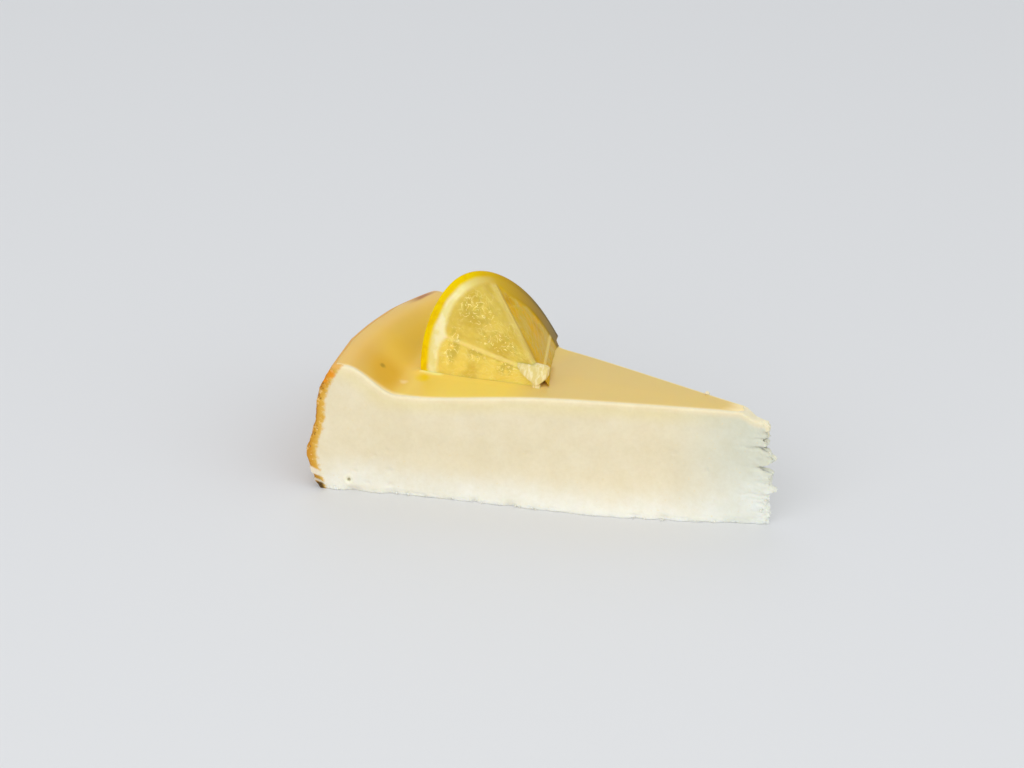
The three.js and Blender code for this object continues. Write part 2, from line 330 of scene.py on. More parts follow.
class Signal:
    """A number, colour or vector in a material, with the steps that can follow it."""

    def __init__(self, graph: Graph, socket: bpy.types.NodeSocket) -> None:
        """Holds one output of a node of the graph."""
        self.graph = graph
        self.socket = socket

    def math(self, kind: str, other: object = 0.0) -> "Signal":
        """Arithmetic with another number."""
        return self.graph.node("Math", {0: self, 1: other}, operation=kind)

    def __add__(self, other: object) -> "Signal":
        """The sum."""
        return self.math("ADD", other)

    def __sub__(self, other: object) -> "Signal":
        """The difference."""
        return self.math("SUBTRACT", other)

    def __rsub__(self, other: float) -> "Signal":
        """A plain number less this one."""
        return self.graph.node("Math", {0: other, 1: self}, operation="SUBTRACT")

    def __mul__(self, other: object) -> "Signal":
        """The product."""
        return self.math("MULTIPLY", other)

    def __truediv__(self, other: float) -> "Signal":
        """The quotient."""
        return self.math("DIVIDE", other)

    def held(self) -> "Signal":
        """Holds this result of arithmetic from 0 to 1, and gives it back."""
        self.socket.node.use_clamp = True
        return self

    def spread(self, low: float, high: float) -> "Signal":
        """Turns the stretch from low to high into 0 to 1, smoothly."""
        values = {"Value": self, "From Min": low, "From Max": high}
        return self.graph.node("MapRange", values, "Result", interpolation_type="SMOOTHSTEP")

    def ramp(self, stops: Stops) -> "Signal":
        """Colours along this number.

        Args:
            stops: Places from 0 to 1 and their colours.

        Returns:
            The colour.
        """
        made = self.graph.node("ValToRGB", {"Fac": self}, "Color")
        elements = made.socket.node.color_ramp.elements
        elements[0].position, elements[0].color = stops[0]
        elements[1].position, elements[1].color = stops[-1]
        for position, colour in stops[1:-1]:
            elements.new(position).color = colour
        return made

    def bump(self, strength: float, depth_mm: float, under: "Signal | None" = None) -> "Signal":
        """Small relief with this number as its height.

        Args:
            strength: How strong it is.
            depth_mm: Its depth in millimetres.
            under: Relief below this one.

        Returns:
            The normal.
        """
        values = {"Height": self, "Strength": strength, "Distance": depth_mm * MM}
        if under:
            values["Normal"] = under
        return self.graph.node("Bump", values, "Normal")

    def part(self, axis: str) -> "Signal":
        """One coordinate of this vector."""
        return self.graph.node("SeparateXYZ", {0: self}, axis)

    def stretch(self, *scale: float) -> "Signal":
        """This vector with its coordinates scaled."""
        return self.graph.node("Mapping", {"Vector": self, "Scale": scale}, "Vector")

    def warp(self, scale: float, amount: float) -> "Signal":
        """This vector pushed about with cloudy noise.

        Args:
            scale: How fine the noise is.
            amount: How far it pushes.

        Returns:
            The pushed vector.
        """
        cloud = self.graph.node("TexNoise", {"Vector": self, "Scale": scale}, "Color")
        middle = (0.5, 0.5, 0.5)
        centred = self.graph.node("VectorMath", {0: cloud, 1: middle}, operation="SUBTRACT")
        push = self.graph.node("VectorMath", {0: centred, "Scale": amount}, operation="SCALE")
        return self.graph.node("VectorMath", {0: self, 1: push}, operation="ADD")


@dataclass(frozen=True)
class CakeFinish:
    """Baked cream cheese cake: pale and close, golden at the outer wall."""

    cream: Colour = paint(236, 224, 193)
    low: Colour = paint(243, 240, 227)
    high: Colour = paint(238, 224, 176)
    # Painted highlight along the rounded top edge of the cut faces.
    lip: Colour = paint(248, 232, 197)
    bare: Colour = paint(234, 226, 196)
    # Cooler grey towards the tip, darkened there as painted shade, and lighter low down.
    cool_shade: Colour = paint(216, 219, 205)
    cool_shade_low: Colour = paint(233, 236, 228)
    stain: Colour = paint(236, 212, 150)
    clouds: Stops = band((0.36, 247, 244, 236), (0.62, 255, 255, 255))
    grain: Stops = band((0.36, 246, 244, 238), (0.6, 255, 255, 255))
    crust: Stops = band(
        (0.0, 182, 126, 42),
        (0.14, 206, 149, 38),
        (0.36, 216, 163, 56),
        (0.66, 223, 178, 80),
        (1.0, 231, 197, 122),
    )
    crust_depth_mm: float = 2.9
    deep: Colour = paint(206, 142, 34)
    pore: Colour = paint(140, 88, 16)
    speck: Colour = paint(240, 200, 128)
    edge: Colour = paint(232, 178, 96)
    # Dark foot of the wall: scorched crust with painted shade.
    scorch: Colour = paint(92, 66, 22)
    toasted: Colour = paint(236, 146, 14)
    toasted_at: tuple[Spot, ...] = (
        Spot((-49.6, -26.4, 32.6), 0.4, 1.7),
        Spot((-51.3, -27.0, 31.0), 0.2, 1.5),
    )
    # Painted shade inside the small pit in the front cut.
    pit_shade: Colour = paint(150, 140, 96)
    pit_shade_at: Spot = Spot((-45.85, -25.8, 3.25), 0.2, 0.65)
    blister: Colour = paint(255, 250, 214)
    blister_at: Spot = Spot((-45.9, -25.8, 3.5), 0.9, 1.7)
    rough: float = 0.6
    shine: float = 0.25
    soak: float = 0.5
    soak_less_golden: float = 0.42
    light_reach: Place = (1.0, 0.85, 0.6)
    light_depth_mm: float = 1.2

    def cut(self, graph: Graph) -> Signal:
        """Colours of the cut cake.

        Args:
            graph: The material's nodes.

        Returns:
            The colour.
        """
        height = graph.mm("Z")
        under = graph.attribute("below_top")
        from_tip = graph.attribute("from_tip")
        low = (height + graph.drift(9.0, 70, 3)).spread(11.0, 0.5)
        colour = graph.mix(low, self.cream, self.low)
        colour = graph.mix(under.spread(6.0, 1.5) * 0.75, colour, self.high)
        # Painted shade towards the tip, in a cooler grey that is lighter low down.
        cool_shade = graph.mix(height.spread(20.0, 5.0), self.cool_shade, self.cool_shade_low)
        colour = graph.mix(from_tip.spread(30.0, 3.0) * 0.85, colour, cool_shade)
        # Painted highlight along the lip under the top.
        colour = graph.mix(under.spread(2.3, 0.3) * 0.75, colour, self.lip)
        # Near the tip the painted lip highlight and the yellower band give way to plain cake.
        bare = from_tip.spread(9.5, 5.5) * under.spread(2.0, 0.5)
        colour = graph.mix(bare * 0.85, colour, self.bare)
        clouds = graph.noise(150, 4, 0.6).ramp(self.clouds)
        colour = graph.mix(0.55, colour, clouds, "MULTIPLY")
        grain = graph.noise(900, 3, 0.6).ramp(self.grain)
        colour = graph.mix(0.3, colour, grain, "MULTIPLY")
        stains = graph.noise(1500, 2, 0.6).spread(0.34, 0.26)
        colour = graph.mix(stains * 0.35, colour, self.stain)
        colour = graph.mix(graph.spot(self.blister_at) * 0.35, colour, self.blister)
        # Painted shade in the pit.
        return graph.mix(graph.spot(self.pit_shade_at) * 0.9, colour, self.pit_shade)

    def browned(self, graph: Graph, share: Signal, pores: Signal) -> Signal:
        """Colours of the golden outer wall.

        Args:
            graph: The material's nodes.
            share: 0 at the wall's surface and 1 where the golden band ends.
            pores: Where the small pores are.

        Returns:
            The colour.
        """
        shallow = share.spread(0.75, 0.3)
        patches = graph.noise(130, 4, 0.65).spread(0.46, 0.64)
        colour = graph.mix(patches * shallow * 0.75, share.ramp(self.crust), self.deep)
        colour = graph.mix(pores * shallow * 0.9, colour, self.pore)
        bright = graph.noise(1000, 3, 0.6).spread(0.55, 0.66)
        colour = graph.mix(bright * 0.75, colour, self.speck)
        edge = graph.attribute("below_top").spread(1.7, 0.5)
        return graph.mix(edge * 0.8, colour, self.edge)

    def material(self) -> bpy.types.Material:
        """Makes the cake's material.

        Returns:
            The material.
        """
        graph = Graph("baked_cake")
        ragged = graph.attribute("crust_depth") + graph.drift(2.6, 620, 4, 0.7)
        share = (ragged / self.crust_depth_mm).held()
        holes = graph.bubbles(graph.place.warp(1500, 0.6 * MM), 1150)
        pores = holes.spread(0.36, 0.2) * graph.noise(260, 3).spread(0.48, 0.58)
        within = share.spread(1.0, 0.6) * (1.0 - graph.attribute("torn") * 0.85).held()
        colour = graph.mix(within, self.cut(graph), self.browned(graph, share, pores))
        # Scorched foot of the wall with painted shade.
        colour = graph.mix(graph.attribute("scorch"), colour, self.scorch)
        wander = graph.drift(1.2 * MM, 420, 3)
        for spot in self.toasted_at:
            colour = graph.mix(graph.spot(spot, wander) * 0.9, colour, self.toasted)
        fine = graph.noise(1300, 4, 0.6).bump(0.25, 0.12)
        coarse = (pores * -1.0).bump(0.6, 0.3, fine)
        normal = graph.node("Mix", {0: within, 4: fine, 5: coarse}, 1, data_type="VECTOR")
        return graph.finish(
            Base_Color=colour,
            Roughness=self.rough,
            Normal=normal,
            Subsurface_Weight=self.soak - within * self.soak_less_golden,
            Subsurface_Radius=self.light_reach,
            Subsurface_Scale=self.light_depth_mm * MM,
            Specular_IOR_Level=self.shine,
        )


@dataclass(frozen=True)
class GlazeFinish:
    """Clear amber citrus jelly over pale cake."""

    thin: Colour = paint(227, 193, 112)
    pool: Colour = paint(224, 169, 28)
    warm: Colour = paint(247, 210, 97)
    rim: Colour = paint(237, 191, 103)
    border: Colour = paint(255, 230, 176)
    # Painted light on the slope up to the rim, which the lamps leave dim.
    glow: Colour = paint(255, 200, 62)
    lump: Colour = paint(246, 208, 146)
    lump_at: Spot = Spot((-34.9, -15.0, 28.7), 0.4, 1.6)
    shade: Colour = paint(196, 142, 10)
    # Painted highlight along the waterline where the glaze meets the citrus piece's front foot.
    meniscus: Colour = paint(255, 238, 152)
    # Rind showing through the glaze in front of the citrus piece's foot, with its painted
    # reflection.
    rind_and_reflection: Colour = paint(240, 198, 10)
    rind_and_reflection_at: Spot = Spot((-31.6, -11.2, 28.4), 0.8, 2.6)
    speck: Colour = paint(160, 124, 0)
    speck_at: Spot = Spot((-41.0, -14.2, 31.4), 0.3, 1.2)
    scorched: Colour = paint(178, 102, 0)
    rough: float = 0.3
    refraction: float = 1.36
    shine: float = 0.3
    soak: float = 0.4
    soak_less_at_border: float = 0.35
    light_reach: Place = (1.0, 0.6, 0.15)
    light_depth_mm: float = 1.6

    def material(self) -> bpy.types.Material:
        """Makes the glaze's material.

        Returns:
            The material.
        """
        graph = Graph("citrus_glaze")
        drift = graph.drift(0.3, 60, 3)
        colour = graph.mix((graph.attribute("warm") + drift).held(), self.thin, self.warm)
        colour = graph.mix((graph.attribute("rim") + drift).held(), colour, self.rim)
        pooled = (graph.attribute("pool") * (drift + 1.0)).held()
        colour = graph.mix(pooled, colour, self.pool)
        # Painted light on the slope up to the rim.
        colour = graph.mix(graph.attribute("glow"), colour, self.glow)
        colour = graph.mix(graph.attribute("shade"), colour, self.shade)
        ragged = graph.drift(0.7 * MM, 900, 2)
        # Rind through the glaze, with its painted reflection.
        colour = graph.mix(graph.spot(self.rind_and_reflection_at) * 0.9, colour, self.rind_and_reflection)
        colour = graph.mix(graph.spot(self.lump_at, ragged) * 0.75, colour, self.lump)
        colour = graph.mix(graph.spot(self.speck_at, ragged) * 0.7, colour, self.speck)
        border = graph.attribute("border")
        colour = graph.mix(border, colour, self.border)
        colour = graph.mix(graph.attribute("scorched"), colour, self.scorched)
        colour = graph.mix(graph.attribute("meniscus") * 0.9, colour, self.meniscus)
        return graph.finish(
            Base_Color=colour,
            Roughness=self.rough,
            Normal=graph.noise(140, 2).bump(0.12, 0.4),
            IOR=self.refraction,
            Specular_IOR_Level=self.shine,
            Subsurface_Weight=self.soak - border * self.soak_less_at_border,
            Subsurface_Radius=self.light_reach,
            Subsurface_Scale=self.light_depth_mm * MM,
        )


@dataclass(frozen=True)
class CitrusFinish:
    """Wet citrus, in colours that follow the wheel from its front edge to its back edge, with
    painted shade past the fold.
    """

    sweep: float = math.radians(120)
    wheel_radius_mm: float = 34.3
    mid_radius_mm: float = 20.0
    # Past the fold, from about halfway to the back edge, the flesh, pith and peel darken as painted
    # shade where the sheet turns away.
    flesh: Stops = band(
        (0.0, 236, 208, 93),
        (0.14, 236, 209, 95),
        (0.2, 223, 194, 82),
        (0.52, 220, 191, 84),
        (0.56, 206, 168, 48),
        (0.95, 202, 164, 56),
    )
    pith: Stops = band(
        (0.0, 232, 218, 140),
        (0.37, 238, 225, 156),
        (0.42, 228, 208, 122),
        (0.49, 220, 190, 92),
        (0.56, 204, 166, 36),
        (0.67, 186, 146, 8),
        (0.8, 156, 120, 8),
        (0.95, 126, 100, 26),
    )
    peel: Stops = band(
        (0.0, 237, 206, 0),
        (0.42, 233, 200, 0),
        (0.54, 212, 172, 0),
        (0.63, 186, 146, 0),
        (0.72, 156, 122, 0),
        (0.8, 122, 96, 0),
        (0.95, 98, 78, 8),
    )
    grey: Colour = paint(192, 168, 62)
    amber: Colour = paint(216, 164, 12)
    dried: Colour = paint(204, 176, 92)
    ripe: Colour = paint(188, 138, 0)
    ripe_at: tuple[Spot, ...] = (
        Spot((-16.0, 7.8, 44.9), 0.4, 2.8),
        Spot((-9.2, 11.2, 36.4), 0.6, 3.2),
        Spot((-3.0, -3.6, 35.0), 0.4, 2.2),
    )
    web: Colour = paint(240, 222, 130)
    glint: Colour = paint(255, 240, 160)
    skin: Colour = paint(246, 226, 146)
    # Painted shade along the fold's crease.
    crease_shade: Colour = paint(176, 134, 12)
    white: Colour = paint(246, 236, 190)
    core: Colour = paint(226, 203, 126)
    fibre: Colour = paint(248, 234, 188)
    rough: float = 0.3
    refraction: float = 1.36
    shine: float = 0.3
    shine_less_when_dull: float = 0.24
    soak: float = 0.6
    soak_less_in_core: float = 0.45
    light_reach: Place = (1.0, 0.7, 0.12)
    light_depth_mm: float = 1.2

    def juice(self, graph: Graph, turn: Signal) -> tuple[Signal, Signal]:
        """Colours of the flesh, and how its sacs swell.

        Args:
            graph: The material's nodes.
            turn: 0 at the front edge and 1 at the back edge.

        Returns:
            The colour and the swelling.
        """
        front = turn.spread(0.55, 0.5)
        behind = (1.0 - front).held()
        wet = graph.attribute("wet")
        flat_mm = graph.wheel.stretch(self.mid_radius_mm, self.wheel_radius_mm, 1)
        flat_mm = flat_mm.warp(0.3, 2.6)
        clouds = graph.noise(420, 3).spread(0.4, 0.56) * wet
        # The flesh darkens past the fold as painted shade.
        colour = graph.mix(clouds * 0.65, turn.ramp(self.flesh), self.grey)
        colour = graph.mix(graph.noise(150, 3).spread(0.48, 0.66) * 0.4, colour, self.grey)
        colour = graph.mix(graph.noise(150, 2).spread(0.54, 0.66) * 0.2, colour, self.amber)
        streaks = graph.noise(1.0, 2, vector=flat_mm.stretch(0.34, 0.15, 1))
        colour = graph.mix(streaks.spread(0.47, 0.38) * behind * 0.5, colour, self.dried)
        colour = graph.mix(streaks.spread(0.54, 0.62) * behind * 0.75, colour, self.amber)
        wander = graph.drift(3.0 * MM, 300, 3)
        for spot in self.ripe_at:
            colour = graph.mix(graph.spot(spot, wander) * 0.6, colour, self.ripe)
        sacs = flat_mm.stretch(0.72, 0.26, 1)
        walls = graph.bubbles(sacs, 1.0, feature="DISTANCE_TO_EDGE").spread(0.09, 0.01)
        veil = walls * graph.noise(260, 2).spread(0.44, 0.6) * (front * 0.25 + 0.15)
        colour = graph.mix(veil, colour, self.web)
        # Amber patch of the fruit, and painted shade beside the hub.
        colour = graph.mix(graph.attribute("amber"), colour, self.amber)
        # Painted glints on the wet patches of sacs.
        shine = self.glints(graph, flat_mm) * wet
        return graph.mix(shine * 0.85, colour, self.glint), graph.bubbles(sacs, 1.0)

    def glints(self, graph: Graph, flat_mm: Signal) -> Signal:
        """Short curved streaks of wet light on the sacs.

        Args:
            graph: The material's nodes.
            flat_mm: Places on the flat wheel in millimetres.

        Returns:
            Their strength.
        """
        wave = graph.noise(1.0, 1.0, vector=flat_mm.stretch(0.9, 0.6, 1))
        streak = (wave - 0.5).math("ABSOLUTE").spread(0.03, 0.012)
        return streak * graph.noise(0.9, 1, vector=flat_mm).spread(0.46, 0.52)

    def material(self) -> bpy.types.Material:
        """Makes the citrus piece's material.

        Returns:
            The material.
        """
        graph = Graph("citrus_fruit")
        pith, core, peel = (graph.attribute(name) for name in ("pith", "core", "peel"))
        flat_turn = graph.wheel.part("X") / self.sweep
        hidden = 1.0 - graph.attribute("face")
        # On the hidden face the turn stops at halfway, which keeps most of the painted shade off
        # its pith and peel.
        turn = graph.node("Mix", {0: hidden, 2: flat_turn, 3: flat_turn.math("MINIMUM", 0.5)})
        colour, sacs = self.juice(graph, flat_turn)
        colour = graph.mix(graph.attribute("skin") * 0.45, colour, self.skin)
        colour = graph.mix(graph.attribute("crease_shade") * 0.7, colour, self.crease_shade)
        blotch = graph.noise(190, 3).spread(0.46, 0.62) * turn.spread(0.5, 0.38)
        pale = graph.mix(blotch * 0.8, turn.ramp(self.pith), self.white)
        colour = graph.mix(pith, colour, pale)
        threads = graph.noise(1.0, 3, 0.6, graph.place.stretch(1300, 900, 300))
        woolly = graph.mix(threads.spread(0.38, 0.66) * 0.7, self.core, self.fibre)
        whole = (graph.mm("X").spread(-8.4, -6.4) + graph.mm("Z").spread(34.0, 32.0)).held()
        colour = graph.mix(core * whole.math("MAXIMUM", 0.35), colour, woolly)
        freckles = graph.noise(380, 3).spread(0.48, 0.62) * turn.spread(0.7, 0.5)
        zest = graph.mix(freckles * 0.35, turn.ramp(self.peel), self.amber)
        colour = graph.mix(peel, colour, zest)

        dimples = graph.bubbles(graph.place, 1100).bump(0.15, 0.15)
        wool = (threads * core).bump(0.3, 0.2, dimples)
        soft = (1.0 - (peel + pith + core).held()).held()
        dull = turn.spread(0.42, 0.56).math("MAXIMUM", peel)
        return graph.finish(
            Base_Color=colour,
            Roughness=self.rough,
            Normal=(sacs * soft * -1.0).bump(0.35, 0.4, wool),
            IOR=self.refraction,
            Specular_IOR_Level=self.shine - dull * self.shine_less_when_dull,
            Subsurface_Weight=self.soak - core * self.soak_less_in_core,
            Subsurface_Radius=self.light_reach,
            Subsurface_Scale=self.light_depth_mm * MM,
        )


@dataclass(frozen=True)
class FloorFinish:
    """Plain pale studio floor."""

    tone: Colour = paint(222, 222, 222)
    rough: float = 0.6

    def material(self) -> bpy.types.Material:
        """Makes the floor's material."""
        return Graph("studio_floor").finish(Base_Color=self.tone, Roughness=self.rough)


def select_only(*pieces: Piece) -> None:
    """Selects these pieces alone, with the first one active.

    Args:
        *pieces: The pieces.
    """
    bpy.ops.object.select_all(action="DESELECT")
    for piece in pieces:
        piece.select_set(True)
    bpy.context.view_layer.objects.active = pieces[0]


def divide(box: Piece, axis: int, count: int) -> None:
    """Divides the edges that run along one axis of a box in edit mode.

    Args:
        box: The box.
        axis: 0, 1 or 2 for X, Y or Z.
        count: How many pieces each edge becomes.
    """
    most_cuts, along = 100, 0.99
    parts = []
    while count > most_cuts:
        parts.append(2)
        count //= 2
    for pieces in [count, *parts]:
        if pieces < 2:
            continue
        bpy.ops.mesh.select_all(action="DESELECT")
        shell = bmesh.from_edit_mesh(box.data)
        for edge in shell.edges:
            span = edge.verts[1].co - edge.verts[0].co
            edge.select_set(abs(span[axis]) > along * span.length)
        bmesh.update_edit_mesh(box.data)
        bpy.ops.mesh.subdivide(number_cuts=pieces - 1)


def divided_box(name: str, steps: tuple[int, int, int]) -> Piece:
    """Adds a unit cube and divides it along X, Y and Z.

    Args:
        name: The new object's name.
        steps: How many divisions along each axis.

    Returns:
        The box.
    """
    bpy.ops.object.select_all(action="DESELECT")
    bpy.ops.mesh.primitive_cube_add(size=1.0)
    box = bpy.context.object
    box.name = name
    box.data.name = name
    bpy.ops.object.mode_set(mode="EDIT")
    bpy.ops.mesh.select_mode(type="EDGE")
    for axis, count in enumerate(steps):
        divide(box, axis, count)
    bpy.ops.object.mode_set(mode="OBJECT")
    return box


def points_of(piece: Piece) -> Array:
    """Reads a mesh's points.

    Args:
        piece: The mesh object.

    Returns:
        One row of x, y and z for each point.
    """
    flat = np.empty(len(piece.data.vertices) * 3)
    piece.data.vertices.foreach_get("co", flat)
    return flat.reshape(-1, 3)


def move_points(piece: Piece, points_mm: Array) -> None:
    """Writes a mesh's points, given in millimetres."""
    piece.data.vertices.foreach_set("co", (points_mm * MM).ravel())
    piece.data.update()


def carry(piece: Piece, **numbers: Array) -> None:
    """Gives a mesh numbers at each point for its material to read.

    Args:
        piece: The mesh object.
        **numbers: One value for each point, by the number's name.
    """
    for name, values in numbers.items():
        held = piece.data.attributes.new(name, "FLOAT", "POINT")
        spread = np.broadcast_to(values, len(piece.data.vertices))
        held.data.foreach_set("value", np.ascontiguousarray(spread, dtype=np.float32))


def dress(piece: Piece, material: bpy.types.Material, slot: str, *nodes: str) -> None:
    """Gives a finished piece its material, its body and the solids that it stands for.

    Args:
        piece: The mesh object.
        material: Its material.
        slot: Not used.
        *nodes: The solids that it replaces.
    """
    select_only(piece)
    bpy.ops.object.shade_smooth()
    piece.data.materials.clear()
    piece.data.materials.append(material)
    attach(piece, ROOT_BODY)
    if nodes:
        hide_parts(*nodes)
    LOG.info("%s: %d faces", piece.name, len(piece.data.polygons))


@dataclass(frozen=True)
class Flake:
    """A flake at the torn tip: its height, half its thickness, and how far it stands out."""

    height: float
    half: float
    reach: float


@dataclass(frozen=True)
class Crack:
    """A level crack from the tip into the cut faces: its height, length and depth."""

    height: float
    length: float
    depth: float


@dataclass(frozen=True)
class Wedge:
    """The slice's form, by radius, side and height."""

    tin_radius: float = 115.0
    half_angle: float = math.radians(15.6)
    middle_bearing: float = math.radians(1.6)
    tip_half_width: float = 0.9
    tip_blunt_length: float = 5.0
    top_height: float = 30.1
    top_lean: float = 0.075
    top_lean_start: float = 3.0
    hollow_radius: float = 89.0
    hollow_width: float = 22.0
    hollow_depth_at_cut: float = 2.3
    hollow_depth_inside: float = 1.4
    rim_rise: float = 6.3
    rim_sag_behind: float = 0.8
    rim_sag_from: float = -0.6
    rim_sag_span: float = 0.5
    rim_foot_radius: float = 94.0
    rim_crest_radius: float = 106.5
    rim_round_radius: float = 107.5
    rim_round_drop: float = 0.06
    rim_wave: float = 0.5
    crest_wave: float = 0.3
    wall_shrink: float = 0.7
    wall_bulge: float = 2.75
    wall_bulge_height: float = 10.0
    wall_bulge_spread: float = 7.5
    wall_round_height: float = 23.0
    wall_round_inset: float = 4.8
    tip_droop: float = 2.0
    tip_droop_start: float = 8.4
    tip_droop_length: float = 5.0
    tip_round: float = 0.8
    tip_round_length: float = 1.5
    foot_flare: float = 3.6
    foot_flare_behind: float = 1.6
    foot_flare_radius: float = 38.0
    foot_flare_spread: float = 34.0
    foot_flare_start: float = 7.0
    foot_flare_height: float = 15.0
    tear_wave: float = 0.35
    tear_wave_size: float = 1.7
    tear_fade: float = 2.6
    glaze_start: float = 7.6
    glaze_start_wave: float = 1.1
    glaze_end_gap: float = 0.45
    glaze_end_wave: float = 0.35
    flakes: tuple[Flake, ...] = (
        Flake(27.0, 0.9, -0.5),
        Flake(24.9, 0.9, -1.2),
        Flake(23.2, 0.45, -2.0),
        Flake(22.2, 0.6, -0.5),
        Flake(20.9, 0.55, -2.4),
        Flake(17.9, 0.9, 1.2),
        Flake(15.5, 0.75, -2.7),
        Flake(14.2, 0.7, 1.1),
        Flake(12.2, 1.2, 0.4),
        Flake(9.6, 0.75, 2.1),
        Flake(5.9, 0.8, -0.6),
        Flake(2.6, 1.0, 0.6),
    )

    @property
    def tip_x(self) -> float:
        """Where the tip's axis stands along X."""
        return self.tin_radius / 2

    @property
    def crest_radius(self) -> float:
        """Where the top ends at the outer wall."""
        inner = self.tin_radius - self.wall_shrink - self.wall_round_inset
        return float(self.wall_radius(self.top(inner, -1.0)))

    def top(self, radius: Array, side: Array) -> Array:
        """Height of the finished top.

        Args:
            radius, side: Places on the wedge.

        Returns:
            The height.
        """
        span = self.hollow_depth_at_cut - self.hollow_depth_inside
        depth = self.hollow_depth_inside + span * ease(-side)
        hollow = depth * bell(radius, self.hollow_radius, self.hollow_width)
        climb_length = self.rim_crest_radius - self.rim_foot_radius
        climb = ease((radius - self.rim_foot_radius) / climb_length)
        wave = self.rim_wave * lumps(side * 2.6 + 5, 3.5, 0.5) * (1 - side * side)
        sag = self.rim_sag_behind * ease((side - self.rim_sag_from) / self.rim_sag_span)
        rounded = self.rim_round_drop * np.maximum(0, radius - self.rim_round_radius) ** 2
        droop = self.tip_droop * ease((self.tip_droop_start - radius) / self.tip_droop_length)
        last = self.tip_round_length
        droop = droop + self.tip_round * ease((last - radius) / last)
        behind = np.maximum(0, radius * np.sin(side * self.half_angle + self.middle_bearing))
        lean = self.top_lean * behind**2 / (behind + self.top_lean_start)
        rim = (self.rim_rise + wave - sag) * climb
        return self.top_height - hollow + rim - rounded - droop - lean

    def plain_crest(self, side: Array) -> Array:
        """Where the top ends; further out at the back, where the rim is lower."""
        return self.wall_radius(self.top(self.crest_radius, side))

    def crest_at(self, side: Array) -> Array:
        """Where the wavy top ends at the outer wall."""
        wave = self.crest_wave * grit(side * 5 + 2, 3.3, 1.7, 2) * (1 - side**8)
        return self.plain_crest(side) + wave

    def glaze_ends(self, side: Array) -> tuple[Array, Array]:
        """Where the glaze starts near the tip and where it ends at the rim.

        Args:
            side: Sides of the wedge.

        Returns:
            The two radii.
        """
        start = self.glaze_start + self.glaze_start_wave * lumps(side * 1.4 + 3, 1.7, 2.2)
        wave = self.glaze_end_wave * lumps(side * 6 + 3, 4.7, 2.2)
        return start, self.crest_at(side) - self.glaze_end_gap + wave

    def wall_radius(self, height: Array) -> Array:
        """Distance of the outer wall from the tip's axis.

        Args:
            height: Heights.

        Returns:
            The distance.
        """
        bulge = self.wall_bulge * bell(height, self.wall_bulge_height, self.wall_bulge_spread)
        above = np.maximum(0, height - self.wall_round_height)
        span = self.top_height + self.rim_rise - 1 - self.wall_round_height
        inset = self.wall_round_inset * (above / span) ** 2
        return self.tin_radius - self.wall_shrink + bulge - inset

    def arc(self, side: Array) -> Array:
        """Distance along the wall from its middle."""
        return side * self.tin_radius * self.half_angle

    def blunt(self, radius: Array) -> Array:
        """How much wider than a sharp wedge the slice is near its tip."""
        return self.tip_half_width * np.exp(-np.maximum(0, radius) / self.tip_blunt_length)

    def half_width(self, radius: Array) -> Array:
        """Distance from the middle to a cut face, along the arc."""
        return np.maximum(radius, 0) * self.half_angle + self.blunt(radius)

    def from_cut(self, radius: Array, side: Array) -> Array:
        """Distance to the nearer cut face, along the arc."""
        return (1 - np.abs(side)) * self.half_width(radius)

    def point(self, radius: Array, side: Array, height: Array) -> Array:
        """Turns the wedge's own measures into places.

        Args:
            radius, side, height: Places on the wedge.

        Returns:
            One row of x, y and z for each.
        """
        bearing = side * self.half_angle + self.middle_bearing
        x = self.tip_x - radius * np.cos(bearing)
        flare = self.flare(radius, side, height)
        y = radius * np.sin(bearing) + side * self.blunt(radius) + flare
        return np.stack(np.broadcast_arrays(x, y, height), axis=-1)

    def flare(self, radius: Array, side: Array, height: Array) -> Array:
        """How far the soft foot of a cut spreads outwards.

        Args:
            radius, side, height: Places on the wedge.

        Returns:
            The spread along Y.
        """
        most = np.where(side < 0, self.foot_flare, self.foot_flare_behind)
        along = bell(radius, self.foot_flare_radius, self.foot_flare_spread)
        along = along * ease(radius / self.foot_flare_start)
        low = 1 - np.clip(height / self.foot_flare_height, 0, 1)
        return side * np.abs(side) * most * along * low**2

    def tip_reach(self, height: Array, side: Array) -> Array:
        """How far the torn tip stands out.

        Args:
            height, side: Places at the tip.

        Returns:
            The reach, negative where a flake is missing.
        """
        reach = self.tear_wave * lumps(side * 1.5 + 7, height / self.tear_wave_size, 2.5)
        for flake in self.flakes:
            reach = reach + flake.reach * bell(height, flake.height, flake.half)
        return reach


